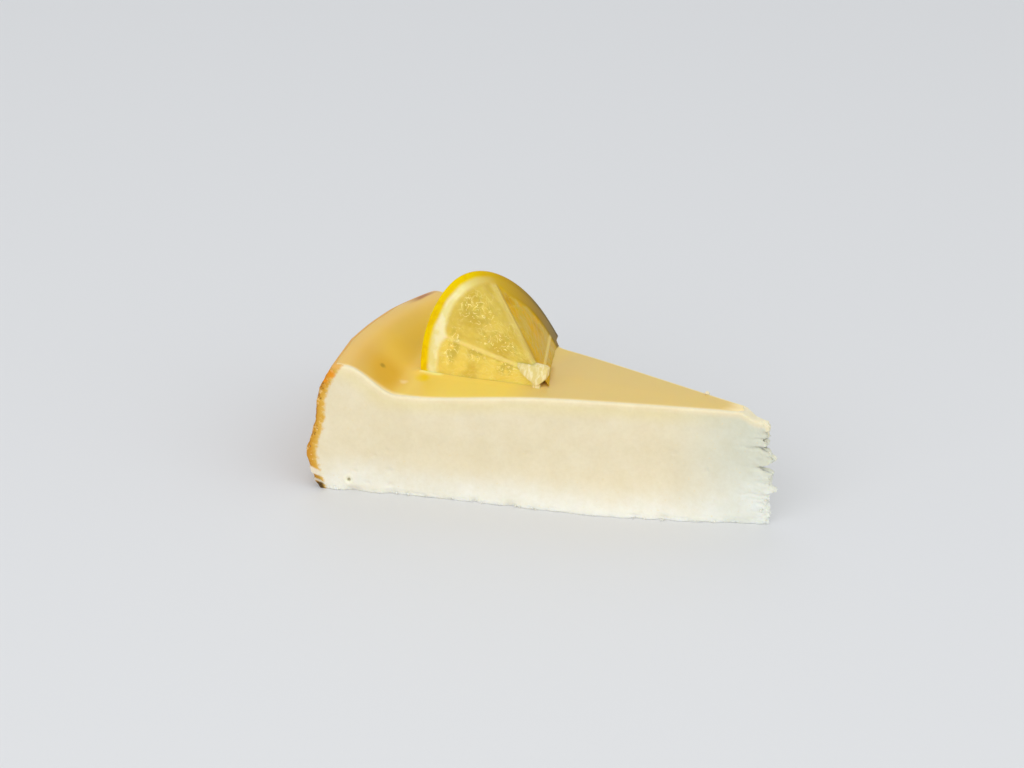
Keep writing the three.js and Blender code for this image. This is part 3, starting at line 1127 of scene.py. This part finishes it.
@dataclass
class CakeBody:
    """The cake: two cut faces, a porous golden wall, a rounded lip and a torn tip."""

    wedge: Wedge
    steps: tuple[int, int, int] = (216, 72, 104)
    end_crowding: float = 0.6
    rise_crowding: float = 0.35
    lip_radius: float = 0.6
    cover_depth: float = 0.35
    cover_inset: float = 0.5
    cover_fade: float = 0.6
    cut_wave: float = 0.22
    cut_wave_size: float = 9.0
    bite: float = 1.1
    bite_size: float = 3.2
    bite_height: float = 2.2
    wall_lump: float = 0.9
    wall_lump_size: float = 4.5
    wall_pore: float = 0.45
    wall_pore_size: float = 1.1
    wall_edge: float = 0.4
    wall_edge_size: float = 1.9
    golden_from: float = 90.0
    tip_grit: float = 0.75
    cracks: tuple[Crack, ...] = (
        Crack(23.2, 5.0, 0.5),
        Crack(20.9, 9.0, 0.75),
        Crack(15.3, 4.5, 0.8),
        Crack(8.1, 10.0, 0.35),
        Crack(6.9, 7.0, 0.3),
        Crack(11.4, 6.0, 0.25),
    )
    pits: int = 26
    pit_seed: int = 7
    blister: tuple[float, float] = (106.5, 3.25)

    def build(self) -> Piece:
        """Models the cake.

        Returns:
            The finished mesh object.
        """
        wedge = self.wedge
        box = divided_box("cake", self.steps)
        unit = points_of(box)
        share = crowd(0.5 - unit[:, 0], self.end_crowding)
        side = to_edges(2 * unit[:, 1])
        level = crowd(unit[:, 2] + 0.5, self.rise_crowding)

        top_radius = share * wedge.crest_at(side)
        top = wedge.top(top_radius, side)
        from_cut = wedge.from_cut(top_radius, side)
        start, end = wedge.glaze_ends(side)
        from_ends = np.minimum(end - top_radius, top_radius - start) + self.cover_inset
        inset = np.minimum(from_cut, from_ends)
        cover = self.cover_depth * ease((inset - self.cover_inset) / self.cover_fade)
        lip_drop = self.lip_radius * round_over(1 - from_cut / self.lip_radius)
        height = level * (top - cover - lip_drop)

        wall_height = level * wedge.top(wedge.crest_radius, side)
        crest_wave = wedge.crest_at(side) - wedge.plain_crest(side)
        relief = self.wall_relief(side, wall_height, level) + crest_wave * ease(level * 6 - 5)
        radius = share * (wedge.wall_radius(wall_height) + relief)
        place = wedge.point(radius, side, height)
        self.tear_tip(place, radius, side, height)
        self.rough_cuts(place, radius, side, height, top)
        move_points(box, place)

        smooth_wall = wedge.wall_radius(np.minimum(place[:, 2], top))
        depth = np.maximum(0, smooth_wall - np.hypot(wedge.tip_x - place[:, 0], place[:, 1]))
        carry(box, crust_depth=np.where(ease(share * 24 - 23) > 0.99, 0.0, depth))
        carry(box, below_top=np.maximum(0, top - place[:, 2]), from_tip=radius)
        self.mark_foot(box, place[:, 2], radius, side, depth)
        return box

    def mark_foot(
        self, box: Piece, height: Array, radius: Array, side: Array, depth: Array
    ) -> None:
        """Marks the torn flaps, and the dark foot of the wall: scorched crust with painted shade
        low down and at the front corner.

        Args:
            box: The mesh object.
            height, radius, side: Its points on the wedge.
            depth: How deep they lie behind the wall.
        """
        arc = self.wedge.arc(side)
        golden = ease((radius - self.golden_from) / 8)
        corner = ease((-side - 0.8) / 0.15)
        hung = height + 0.5 * depth + 0.5 * grit(depth / 1.1, height / 1.1, arc / 3)
        hung = hung + 0.8 * (1 - corner) * grit(arc / 1.1, height / 0.9, 4.4)
        carry(box, torn=self.flap_share(arc, hung) * ease((3.4 - depth) / 0.6) * golden)
        patchy = ease((lumps(arc / 4.5, 5.1, 2.2) + 0.35) / 0.5)
        line = 1.6 + 0.5 * corner + 0.9 * lumps(arc / 2.1, 5.1, 2.2)
        # Scorched crust with painted shade, darkest at the front corner and fainter a little higher
        # up.
        burnt_and_shaded = ease((line - height) / 0.7) * np.maximum(corner, 0.75 * patchy)
        burnt_and_shaded = np.maximum(burnt_and_shaded, 0.3 * ease((4.6 - height) / 1.5))
        carry(box, scorch=burnt_and_shaded * ease(2.2 - depth) * golden)

    def wall_relief(self, side: Array, height: Array, level: Array) -> Array:
        """Lumps, pores and the torn foot of the outer wall.

        Args:
            side, height: Places on the wall.
            level: 0 at the underside and 1 at the top.

        Returns:
            How far the wall stands out.
        """
        inside = 1 - 0.75 * side**4
        big = lumps(side * 6 + 9, height / self.wall_lump_size, 4.5)
        big = self.wall_lump * inside * ease((height + 2) / 4) * big
        arc = self.wedge.arc(side)
        size = self.wall_pore_size
        pores = -self.wall_pore * np.maximum(0, grit(arc / size, height / size, 8.2))
        edge = self.wall_edge * side**4 * grit(arc / 7, height / self.wall_edge_size, 3.1)
        torn = 0.35 * ease((8 - height) / 5) * lumps(arc / 5.0, height / 1.3, 5.7)
        flaps = 0.4 * self.flap_share(arc, height) - 0.25 * ease(2.0 - height)
        flaps = flaps - 0.3 * bell(height, 3.8, 0.6)
        return (big + pores + edge + torn + flaps) * ease((1 - level) * 30)

    def flap_share(self, arc: Array, height: Array) -> Array:
        """Where flaps of pale cake hang over the foot of the wall.

        Args:
            arc: Distance along the wall from its middle.
            height: Height above the underside.

        Returns:
            A share that is 1 on a flap.
        """
        drift = 0.5 * lumps(arc / 4.0 + 2, 1.4, 0.6)
        corner = ease((-arc / self.wedge.arc(1.0) - 0.9) / 0.05)
        high = np.maximum(corner, ease((lumps(arc / 3.2, 8.2, 3.3) - 0.15) / 0.3))
        low = np.maximum(corner, ease((lumps(arc / 2.6, 2.2, 7.3) - 0.1) / 0.3))
        high = bell(height, 5.4 + drift, 1.2) * high
        low = bell(height, 2.75 + drift, 0.5) * low
        return ease((np.maximum(high, low) - 0.35) / 0.3)

    def tear_tip(self, place: Array, radius: Array, side: Array, height: Array) -> None:
        """Moves the tip's points out and in, flake by flake.

        Args:
            place: The points, changed in place.
            radius, side, height: The same points on the wedge.
        """
        reach = self.wedge.tip_reach(height, side)
        place[:, 0] += reach * np.exp(-radius / self.wedge.tear_fade)
        near = self.tip_grit * np.exp(-radius / 2.2)
        place[:, 0] += near * grit(place[:, 0] / 1.3, side * 2 + 4, height / 1.1)
        fray = grit(side * 2, place[:, 0] / 1.1, height / 0.8)
        place[:, 1] += 0.8 * near * fray * np.abs(side)
        for crack in self.cracks:
            drop = 0.5 * lumps(radius / 2.3, crack.height, 1.7)
            fade = ease((crack.length - radius) / crack.length)
            slit = bell(height, crack.height + drop, 0.3) * fade
            place[:, 1] -= np.sign(side) * crack.depth * slit * np.abs(side) ** 4
        top_soft = 1 - ease((radius - 1) / 4)
        place[:, 2] += 0.5 * top_soft * grit(place[:, 0], side * 1.5, 3.3) * (height > 24)

    def rough_cuts(
        self, place: Array, radius: Array, side: Array, height: Array, top: Array
    ) -> None:
        """Waves, pits and the bitten foot of the two cut faces.

        Args:
            place: The points, changed in place.
            radius, side, height: The same points on the wedge.
            top: Height of the finished top there.
        """
        size = self.cut_wave_size
        wave = self.cut_wave * lumps(radius / size, height / size, side + 3) * ease(radius / 8)
        low = ease(1 - height / self.bite_height) * ease(radius / 6)
        bite = self.bite * np.maximum(0, lumps(radius / self.bite_size, 6.5, side + 8))
        fine = 0.55 * np.maximum(0, grit(radius / 0.9, height / 0.9, side * 3 + 1))
        down = np.minimum(1 - (top - height) / self.lip_radius, 0.999)
        inward = (bite + fine) * low - wave * ease((top - height) / 2)
        inward = inward + 0.5 * self.lip_radius * round_over(down)
        inward = inward + self.pit_depth(radius, side, height)
        place[:, 1] -= np.sign(side) * inward * np.abs(side) ** 6 * ease(radius / 3)

    def pit_depth(self, radius: Array, side: Array, height: Array) -> Array:
        """Small holes left by bubbles.

        Args:
            radius, side, height: Places on the wedge.

        Returns:
            Their depth.
        """
        draw = np.random.default_rng(self.pit_seed)
        away = np.hypot(radius - self.blister[0], (height - self.blister[1]) * 0.7)
        depth = (side < -0.98) * (0.5 * bell(away, 0, 0.45) - 0.18 * bell(away, 0.95, 0.4))
        for _ in range(self.pits):
            at = draw.uniform(12, 108), draw.uniform(3, 24) * draw.uniform(0.3, 1)
            width = draw.uniform(0.35, 0.75)
            face = draw.choice([-1.0, 1.0])
            away = ((radius - at[0]) ** 2 + (height - at[1]) ** 2) / width**2
            depth += 0.5 * width * np.exp(-away) * (side * face > 0.98)
        return depth


@dataclass
class WoollyCore:
    """The lump of woolly core that fills the citrus piece's hub."""

    left: float = -7.1
    right: float = 1.1
    top: float = 35.4
    bottom: float = 30.5
    bottom_left: float = 34.4
    bottom_right: float = 32.4
    lowest_at: float = 0.72
    middle_y: float = -7.15
    middle_z: float = 33.0
    half_depth: float = 1.5
    lean: float = 0.45
    end_share: float = 0.5
    corner_round: float = 0.3
    steps: tuple[int, int, int] = (72, 32, 40)
    wool: float = 0.08

    def build(self) -> Piece:
        """Models the lump.

        Returns:
            Its mesh object.
        """
        lump = divided_box("core", self.steps)
        unit = points_of(lump)
        along, across, up = unit[:, 0] + 0.5, 2 * unit[:, 1], 2 * unit[:, 2]
        before = along < self.lowest_at
        fall = np.where(before, along / self.lowest_at, (1 - along) / (1 - self.lowest_at)) ** 0.7
        start = np.where(before, self.bottom_left, self.bottom_right)
        bottom = start + (self.bottom - start) * fall
        full = np.sqrt(1 - np.minimum((2 * along - 1) ** 4, 1))
        share = self.end_share + (1 - self.end_share) * full
        tall = (self.top - bottom) / 2 * share
        z = (self.top + bottom) / 2 + tall * up * np.sqrt(1 - self.corner_round * across**2)
        deep = self.half_depth * share * across * np.sqrt(1 - self.corner_round * up**2)
        y = self.middle_y + deep + self.lean * (z - self.middle_z)
        x = self.left + (self.right - self.left) * along
        wool = self.wool * grit(x / 0.9, y / 0.9, z / 1.8)
        outward = np.stack([2 * along - 1, across, up], axis=-1)
        move_points(lump, np.stack([x, y, z], axis=-1) + wool[:, None] * outward)
        lump.data.uv_layers.active.name = WHEEL_MAP
        return lump


@dataclass(frozen=True)
class WetPlace:
    """A patch of glinting juice sacs: its angle and radius on the wheel, and its half sizes."""

    angle: float
    radius: float
    wide: float
    tall: float


@dataclass
class CitrusPiece:
    """A sector of a citrus wheel, bent as a cone about its hub and standing in the glaze."""

    wedge: Wedge
    radius: float = 34.3
    thickness: float = 3.2
    taper: float = 0.42
    hub: Place = (0.2, -8.05, 33.3)
    hub_radius: float = 1.0
    skirt: float = 4.5
    sunk: float = 0.5
    front_edge: Place = (-0.853, -0.009, -0.137)
    back_edge: Place = (-0.284, 1.0, -0.125)
    lift: Place = (-0.564, 0.174, 1.24)
    shoulder: Place = (-0.222, -0.09, 0.24)
    arch_steps: int = 256
    skirt_steps: int = 20
    spoke_steps: int = 112
    layers: int = 4
    peel_width: float = 2.3
    pith_width: float = 2.7
    pith_more_in_front: float = 0.4
    pith_more_behind: float = 3.0
    membranes: tuple[float, ...] = (19.5, 65.0, 110.5)
    membrane_half: float = 0.42
    rim_round: float = 0.6
    rim_bulge: float = 0.25
    fold_at: float = 64.6
    mid_radius: float = 20.0
    sac_width: float = 1.3
    sac_length: float = 3.6
    sac_swell: float = 0.14
    flesh_sunk: float = 0.3
    edge_depth: float = 0.05
    wet_places: tuple[WetPlace, ...] = (
        WetPlace(42.0, 24.0, 7.5, 4.2),
        WetPlace(16.0, 26.0, 9.0, 1.8),
        WetPlace(37.0, 13.0, 9.0, 3.6),
        WetPlace(15.0, 19.0, 4.0, 2.2),
        WetPlace(30.0, 17.5, 4.0, 2.5),
        WetPlace(9.0, 10.0, 8.0, 2.6),
    )

    def spoke(self, turn: Array) -> Array:
        """Direction of a spoke of the bent wheel.

        Args:
            turn: 0 at the front edge and 1 at the back edge.

        Returns:
            One unit row for each.
        """
        angle = (turn * math.pi / 2)[..., None]
        sway = np.cos(angle) * self.front_edge + np.sin(angle) * self.back_edge
        sway = sway + np.sin(2 * angle) * self.lift + np.sin(4 * angle) * self.shoulder
        return sway / np.linalg.norm(sway, axis=-1, keepdims=True)

    def build(self) -> Piece:
        """Models the citrus piece.

        Returns:
            The finished mesh object.
        """
        around = self.arch_steps + 2 * self.skirt_steps
        box = divided_box("citrus", (around, self.spoke_steps, self.layers))
        unit = points_of(box)
        column = np.round((unit[:, 0] + 0.5) * around)
        turn = np.clip((column - self.skirt_steps) / self.arch_steps, 0, 1)
        before = np.maximum(self.skirt_steps - column, 0)
        after = np.maximum(column - self.skirt_steps - self.arch_steps, 0)
        outward_share = unit[:, 1] + 0.5
        radius = self.hub_radius + (self.radius - self.hub_radius) * outward_share
        layer = unit[:, 2] + 0.5

        nudge = 1e-4
        direction = self.spoke(turn)
        bend = self.spoke(turn + nudge) - self.spoke(turn - nudge)
        bend /= np.linalg.norm(bend, axis=-1, keepdims=True)
        normal = np.cross(bend, direction)
        normal /= np.linalg.norm(normal, axis=-1, keepdims=True)
        plain = np.array(self.hub) + direction * radius[:, None]
        share_below = (before + after) / self.skirt_steps
        below = np.where(before > 0, -1, 1) * share_below * self.depth_below(plain)
        flat_radius, flat_angle = self.flatten(turn, radius, below)

        masks = self.masks(flat_radius, flat_angle)
        thick = np.minimum(self.thickness, self.taper * radius)
        relief = self.relief(flat_radius, flat_angle, masks)
        corner = self.rim_round * round_over(1 + (radius - self.radius) / self.rim_round)
        outer = relief - corner
        inner = -thick - relief * 0.6 + corner
        offset = inner + (outer - inner) * layer
        bulge = self.rim_bulge * np.sin(math.pi * layer) * (outward_share > 0.999)
        place = plain + normal * offset[:, None] + bend * below[:, None]
        move_points(box, place + direction * bulge[:, None])
        self.unroll(box, flat_radius, flat_angle)
        carry(box, face=ease(layer / 0.6), **masks)

        core = WoollyCore().build()
        carry(core, **{name: float(name == "core") for name in ("face", *masks)})
        select_only(box, core)
        bpy.ops.object.join()
        return box

    def flatten(self, turn: Array, radius: Array, below: Array) -> tuple[Array, Array]:
        """Lays points of the bent sheet on the flat wheel.

        Args:
            turn: 0 at the front edge and 1 at the back edge.
            radius: Distance from the hub along the spoke.
            below: How far the point lies beyond a cut edge, negative at the front one.

        Returns:
            Distance from the wheel's centre and angle from the front edge in degrees.
        """
        fine_turn = np.linspace(0, 1, 400)
        steps = np.linalg.norm(np.diff(self.spoke(fine_turn), axis=0), axis=1)
        swept = np.interp(turn, fine_turn, np.concatenate([[0.0], np.cumsum(steps)]))
        x = radius * np.cos(swept) - np.sin(swept) * below
        y = radius * np.sin(swept) + np.cos(swept) * below
        angle = np.degrees(np.arctan2(y, x))
        return np.hypot(x, y), np.where(angle < -90, angle + 360, angle)

    def depth_below(self, plain: Array) -> Array:
        """How far the sheet goes on below a cut edge to reach into the glaze.

        Args:
            plain: Points of the cut edges.

        Returns:
            The depth; almost none where an edge stands out beyond the cake.
        """
        ahead = self.wedge.tip_x - plain[:, 0]
        bearing = np.arctan2(plain[:, 1], ahead)
        side = (bearing - self.wedge.middle_bearing) / self.wedge.half_angle
        top = self.wedge.top(np.hypot(ahead, plain[:, 1]), np.clip(side, -1, 1))
        over_cake = ease((1.02 - np.abs(side)) / 0.06)
        reach = np.clip(plain[:, 2] - top + self.sunk, 0, self.skirt)
        return self.edge_depth + reach * over_cake

    def masks(self, radius: Array, angle: Array) -> dict[str, Array]:
        """Where peel, pith, membranes, core and juice sacs lie on the flat wheel, where shade is
        painted along the fold and beside the hub, and the wet patches where glints are painted.

        Args:
            radius: Distance from the wheel's centre.
            angle: Angle from the front edge in degrees.

        Returns:
            A share from 0 to 1 for each, by name.
        """
        wobble = 0.45 * grit(angle / 9, radius / 9, 2.4)
        from_rim = self.radius - radius + wobble
        peel = ease((self.peel_width + 0.6 - from_rim) / 1.2)
        pith_width = self.pith_width + self.pith_more_in_front * ease((45 - angle) / 25)
        pith_width = pith_width + self.pith_more_behind * ease((angle - 64) / 10)
        across = [np.abs(np.radians(angle - membrane)) * radius for membrane in self.membranes]
        nearest = np.min(across, axis=0)
        round_corner = 1.4 * np.exp(-nearest / 1.6) * ease((60 - angle) / 10)
        pith = ease((self.peel_width + pith_width + round_corner - from_rim) / 1.3)
        skin = ease((self.membrane_half + 0.4 - nearest + 0.2 * wobble) / 0.6)
        past_fold = np.radians(angle - self.fold_at) * radius
        skin = np.maximum(skin, 0.6 * ease((past_fold + 2.6) / 1.4) * ease(-past_fold / 0.3))
        # Painted shade in a line just past the fold.
        crease_shade = bell(past_fold, 0.5, 0.45 + 0.5 * ease((16 - radius) / 8))
        x, y = radius * np.cos(np.radians(angle)), radius * np.sin(np.radians(angle))
        core = ease((3.6 + wobble - x) / 0.9) * ease((2.6 - y + wobble) / 0.7)
        core = np.maximum(core, ease((2.6 - radius) / 0.8)) * ease((70 - angle) / 10)
        patch = bell(angle, 92.0, 9.0) * bell(radius, 18.5, 3.2)
        # Painted shade beside the hub past the fold, where the sheet meets the glaze.
        near_hub = ease((angle - 60) / 6) * ease((11 - radius) / 6)
        wet = 0.12 * ease((60 - angle) / 6)
        for at in self.wet_places:
            damp = bell(angle, at.angle, at.wide) * bell(radius, at.radius, at.tall)
            wet = np.maximum(wet, ease(1.9 * damp))
        return {
            "peel": peel,
            "pith": pith,
            "skin": skin,
            "core": core,
            "crease_shade": crease_shade * ease((radius - 3) / 3),
            "amber": 0.85 * np.maximum(patch, near_hub),
            "wet": wet * (1 - pith),
        }

    def relief(self, radius: Array, angle: Array, masks: dict[str, Array]) -> Array:
        """Height of the cut face: sunken flesh, swollen sacs, proud membranes and core.

        Args:
            radius: Distance from the wheel's centre.
            angle: Angle from the front edge in degrees.
            masks: The shares that masks() gives.

        Returns:
            The height over the plain face.
        """
        flesh = (1 - masks["pith"]) * (1 - masks["core"]) * (1 - 0.7 * masks["skin"])
        turned = np.radians(angle)
        sacs = cells(turned * self.mid_radius / self.sac_width, radius / self.sac_length, 3.0)
        swell = self.sac_swell * (0.5 - np.minimum(sacs, 0.9))
        rough = 0.06 * grit(turned * radius / 0.9, radius / 0.9, 6.1)
        return flesh * (swell + rough - self.flesh_sunk) + 0.1 * masks["core"]

    def unroll(self, box: Piece, radius: Array, angle: Array) -> None:
        """Lays the flat wheel out as the piece's UV map.

        Args:
            box: The mesh object.
            radius: Distance from the wheel's centre.
            angle: Angle from the front edge in degrees.
        """
        sheet = box.data.uv_layers.new(name=WHEEL_MAP)
        corners = np.empty(len(box.data.loops), dtype=np.int32)
        box.data.loops.foreach_get("vertex_index", corners)
        flat = np.stack([np.radians(angle), radius / self.radius], axis=-1)
        sheet.uv.foreach_set("vector", flat[corners].ravel().astype(np.float32))


@dataclass
class Glaze:
    """The glaze: a thin rounded skin over the top, deepest in the hollow before the rim."""

    wedge: Wedge
    citrus: CitrusPiece
    steps: tuple[int, int, int] = (240, 112, 2)
    along_crowding: float = 0.5
    border: float = 0.4
    border_wave: float = 0.12
    proud: float = 0.03
    sunk: float = 0.6
    rounding: float = 0.6
    rounding_drop: float = 0.3
    creep: float = 0.45
    creep_reach: float = 0.9
    hollow_at: float = 98.5

    def build(self) -> Piece:
        """Models the glaze.

        Returns:
            The finished mesh object.
        """
        wedge = self.wedge
        box = divided_box("glaze", self.steps)
        unit = points_of(box)
        along = crowd(unit[:, 0] + 0.5, self.along_crowding)
        across = to_edges(2 * unit[:, 1])
        start, end = wedge.glaze_ends(across)
        radius = end + (start - end) * along
        border = self.border + self.border_wave * grit(radius / 4.5, np.sign(across) * 3.3, 1.5)
        side = across * (1 - border / wedge.half_width(radius))
        top = wedge.top(radius, side)
        from_ends = np.minimum(end - radius, radius - start)
        edge = np.minimum(wedge.from_cut(radius, across), from_ends)
        upper = top + self.proud - self.rounding_drop * round_over(1 - edge / self.rounding)
        lower = top - self.sunk
        place = wedge.point(radius, side, upper)
        away = np.minimum(*self.from_citrus(place))
        upper = upper + self.creep * np.exp(-away / self.creep_reach)
        between = (upper * 2 + lower) / 3
        low_half = np.where(unit[:, 2] < -0.25, lower, between)
        place[:, 2] = np.where(unit[:, 2] > 0.25, upper, low_half)
        move_points(box, place)
        self.mark_depth(box, radius, side)
        self.mark_edges(box, place, radius, side, radius - start, end - radius)
        return box

    def mark_depth(self, box: Piece, radius: Array, side: Array) -> None:
        """Marks where the glaze lies deep and dark, and where light is painted on the slope up to
        the rim.

        Args:
            box: The mesh object.
            radius, side: Its points on the wedge.
        """
        pool = 1.1 * bell(radius, self.hollow_at, 6.0) * bell(side, -0.7, 0.42)
        pool = np.maximum(pool, 0.3 * bell(radius, 89, 5) * ease((-0.35 - side) / 0.3))
        front = 0.6 + 0.4 * ease(0.6 - side * 0.8)
        warm = ease((radius - 57) / 11) * ease((105 - radius) / 6) * front
        # Painted light on the slope up to the rim.
        glow = bell(radius, self.hollow_at, 6.5) * ease((side + 0.62) / 0.45)
        carry(box, pool=np.clip(pool, 0, 1), warm=warm, rim=ease((radius - 100) / 5))
        carry(box, glow=glow * ease((1.1 - side) / 0.5))

    def mark_edges(
        self, box: Piece, place: Array, radius: Array, side: Array, from_start: Array, to_end: Array
    ) -> None:
        """Marks the pale border, the scorched strip, the painted shadow beside the citrus piece's
        back foot and the painted highlight along its front foot.

        Args:
            box: The mesh object.
            place: Its points.
            radius, side: The same points on the wedge.
            from_start, to_end: Distance to the glaze's two ends.
        """
        x, y = place[:, 0], place[:, 1]
        fade = 1.5 + 1.2 * bell(radius, 97, 5)
        beside = ease(1 - (self.wedge.from_cut(radius, side) - 0.1) / fade)
        carry(box, border=np.maximum(beside, 0.9 * ease(1 - from_start / 5.5)))
        scorched = 1.1 * bell(side, 0.77, 0.16) * ease((3.0 - to_end) / 1.2)
        front_line, back_line = self.from_citrus(place)
        strip = bell(back_line, 0, 0.9) * ease((y + 4.5) / 2) * ease((6 - y) / 3)
        # Painted highlight along the waterline at the citrus piece's front foot.
        line = bell(front_line, 0, 0.22) * ease((-x - 26.5) / 1.5) * ease((x + 33.6) / 0.5)
        carry(box, scorched=np.clip(scorched, 0, 1), shade=strip * 0.85, meniscus=line)

    def from_citrus(self, place: Array) -> tuple[Array, Array]:
        """Distance to the two lines where the citrus piece stands in the glaze.

        Args:
            place: The points.

        Returns:
            The distance to the front line and to the back line, seen from above.
        """
        hub = np.array(self.citrus.hub)
        found = []
        for turn in (0.0, 1.0):
            edge = self.citrus.spoke(np.array([turn]))[0] * self.citrus.radius
            line = edge[:2]
            reach = np.clip(((place[:, :2] - hub[:2]) @ line) / (line @ line), 0, 1)
            foot = hub[:2] + reach[:, None] * line
            found.append(np.maximum(np.hypot(*(place[:, :2] - foot).T) - 0.5, 0))
        return found[0], found[1]


class CrumbKind(Enum):
    """What a crumb broke from."""

    CREAM = "cream"
    GOLDEN = "golden"


@dataclass(frozen=True)
class Crumb:
    """One crumb: where it sits, how large it is, and what it broke from."""

    place: Place
    size: float
    kind: CrumbKind


@dataclass
class Crumbs:
    """Crumbs along the foot, at the torn tip and on the wall's lower edge."""

    wedge: Wedge
    seed: int = 11
    on_top: Place = (38.9, 5.0, 30.2)
    on_top_size: float = 0.7
    at_foot: int = 34
    at_tip: int = 12
    at_wall: int = 22
    jag: float = 0.6
    jag_fineness: float = 1.8
    squash: tuple[float, float] = (0.6, 1.15)
    crust_depth_of_cream: float = 9.0
    crust_depth_of_golden: float = 0.9
    below_top: float = 9.0
    from_tip: float = 40.0

    def scatter(self) -> list[Crumb]:
        """Draws where the crumbs sit.

        Returns:
            The crumbs.
        """
        draw = np.random.default_rng(self.seed)
        wedge = self.wedge
        found = [Crumb(self.on_top, self.on_top_size, CrumbKind.CREAM)]
        for _ in range(self.at_foot):
            side = draw.choice([-1.0, 1.0])
            radius = draw.uniform(10, 113)
            size = draw.uniform(0.2, 0.42)
            base = wedge.point(radius, side, draw.uniform(0.1, 0.5))
            found.append(Crumb(tuple(base), size, CrumbKind.CREAM))
        for _ in range(self.at_tip):
            height = draw.uniform(0.6, 27)
            side = draw.uniform(-1, 1)
            radius = draw.uniform(-0.2, 3.0)
            base = wedge.point(radius, side, height)
            reach = wedge.tip_reach(height, side)
            base[0] += reach * math.exp(-max(radius, 0) / wedge.tear_fade)
            found.append(Crumb(tuple(base), draw.uniform(0.25, 0.5), CrumbKind.CREAM))
        for _ in range(self.at_wall):
            height = draw.uniform(0.5, 6.5)
            side = draw.uniform(-1, 1)
            base = wedge.point(wedge.wall_radius(height) - 0.1, side, height)
            found.append(Crumb(tuple(base), draw.uniform(0.3, 0.6), CrumbKind.GOLDEN))
        return found

    def build(self, kind: CrumbKind) -> Piece:
        """Models all the crumbs of one kind as one piece.

        Args:
            kind: Which crumbs.

        Returns:
            The finished mesh object.
        """
        bpy.ops.object.select_all(action="DESELECT")
        bpy.ops.mesh.primitive_ico_sphere_add(subdivisions=2, radius=1.0)
        seedling = bpy.context.object
        draw = np.random.default_rng(self.seed + 5)
        made = []
        for crumb in self.scatter():
            if crumb.kind is not kind:
                continue
            copy = seedling.copy()
            copy.data = seedling.data.copy()
            bpy.context.scene.collection.objects.link(copy)
            shape = points_of(copy)
            x, y, z = (shape * self.jag_fineness).T
            jag = 1 + self.jag * grit(x + len(made), y, z)
            shape = shape * jag[:, None] * draw.uniform(*self.squash, 3)
            shape = shape * crumb.size + np.array(crumb.place)
            shape[:, 2] = np.maximum(shape[:, 2], 0.0)
            move_points(copy, shape)
            made.append(copy)
        bpy.data.objects.remove(seedling)
        select_only(*made)
        bpy.ops.object.join()
        whole = made[0]
        whole.name = f"crumbs_{kind.value}"
        cream = kind is CrumbKind.CREAM
        depth = self.crust_depth_of_cream if cream else self.crust_depth_of_golden
        carry(whole, crust_depth=depth, torn=0.0, scorch=0.0)
        carry(whole, below_top=self.below_top, from_tip=self.from_tip)
        return whole


@dataclass(frozen=True)
class Light:
    """A soft square light: its name, place and size in metres, and power in watts."""

    name: str
    place: Place
    size: float
    power: float


@dataclass
class Studio:
    """The camera, the pale floor and the soft lights."""

    eye_m: Place = (0.20668, -0.50720, 0.28872)
    azimuth: float = 23.293
    pitch: float = 25.5
    lens_mm: float = 84.375
    sensor_mm: float = 36.0
    nearest_m: float = 0.01
    floor_half_m: float = 3.0
    aim_m: Place = (0.0, 0.0, 0.02)
    lights: tuple[Light, ...] = (
        Light("key", (-0.1, -1.05, 0.7), 1.2, 6.1),
        Light("fill", (0.95, -0.25, 0.7), 1.2, 3.1),
        Light("back", (-0.5, 0.7, 0.95), 1.0, 1.3),
    )
    glow: Colour = (0.93, 0.96, 1.0, 1.0)
    glow_strength: float = 0.72

    def camera(self) -> None:
        """Sets the camera at the photograph's angle."""
        lens = bpy.data.cameras.new("camera")
        lens.lens = self.lens_mm
        lens.sensor_width = self.sensor_mm
        lens.clip_start = self.nearest_m
        holder = bpy.data.objects.new("camera", lens)
        bpy.context.scene.collection.objects.link(holder)
        holder.location = self.eye_m
        holder.rotation_euler = (math.radians(90 - self.pitch), 0.0, math.radians(self.azimuth))
        bpy.context.scene.camera = holder

    def floor(self) -> None:
        """Lays the floor under the slice."""
        bpy.ops.object.select_all(action="DESELECT")
        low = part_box("cake_body")[0]
        bpy.ops.mesh.primitive_plane_add(size=2 * self.floor_half_m, location=(0, 0, low.z))
        sheet = bpy.context.object
        sheet.name = "floor"
        sheet.data.materials.append(FloorFinish().material())

    def lighting(self) -> None:
        """Hangs the soft lights and sets the surrounding glow."""
        for light in self.lights:
            lamp = bpy.data.lights.new(light.name, "AREA")
            lamp.size = light.size
            lamp.energy = light.power
            holder = bpy.data.objects.new(light.name, lamp)
            bpy.context.scene.collection.objects.link(holder)
            holder.location = light.place
            aim = Vector(self.aim_m) - Vector(light.place)
            holder.rotation_euler = aim.to_track_quat("-Z", "Y").to_euler()
        world = bpy.data.worlds.new("studio")
        world.use_nodes = True
        background = world.node_tree.nodes["Background"]
        background.inputs["Color"].default_value = self.glow
        background.inputs["Strength"].default_value = self.glow_strength
        bpy.context.scene.world = world
        bpy.context.scene.view_settings.view_transform = "Standard"


def main() -> None:
    """Builds the slice piece by piece, and the studio round it."""
    logging.basicConfig(level=logging.INFO, format="%(name)s %(message)s")
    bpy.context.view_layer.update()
    studio = Studio()
    studio.camera()
    wedge = Wedge()
    cake = CakeFinish().material()
    dress(CakeBody(wedge).build(), cake, "baked_cake", "cake_body")
    citrus = CitrusPiece(wedge)
    dress(Glaze(wedge, citrus).build(), GlazeFinish().material(), "citrus_glaze", "yuzu_glaze")
    dress(citrus.build(), CitrusFinish().material(), "citrus_fruit", "citrus_slice")
    crumbs = Crumbs(wedge)
    for kind in CrumbKind:
        dress(crumbs.build(kind), cake, "baked_cake")
    studio.floor()
    studio.lighting()


if __name__ == "__main__":
    main()
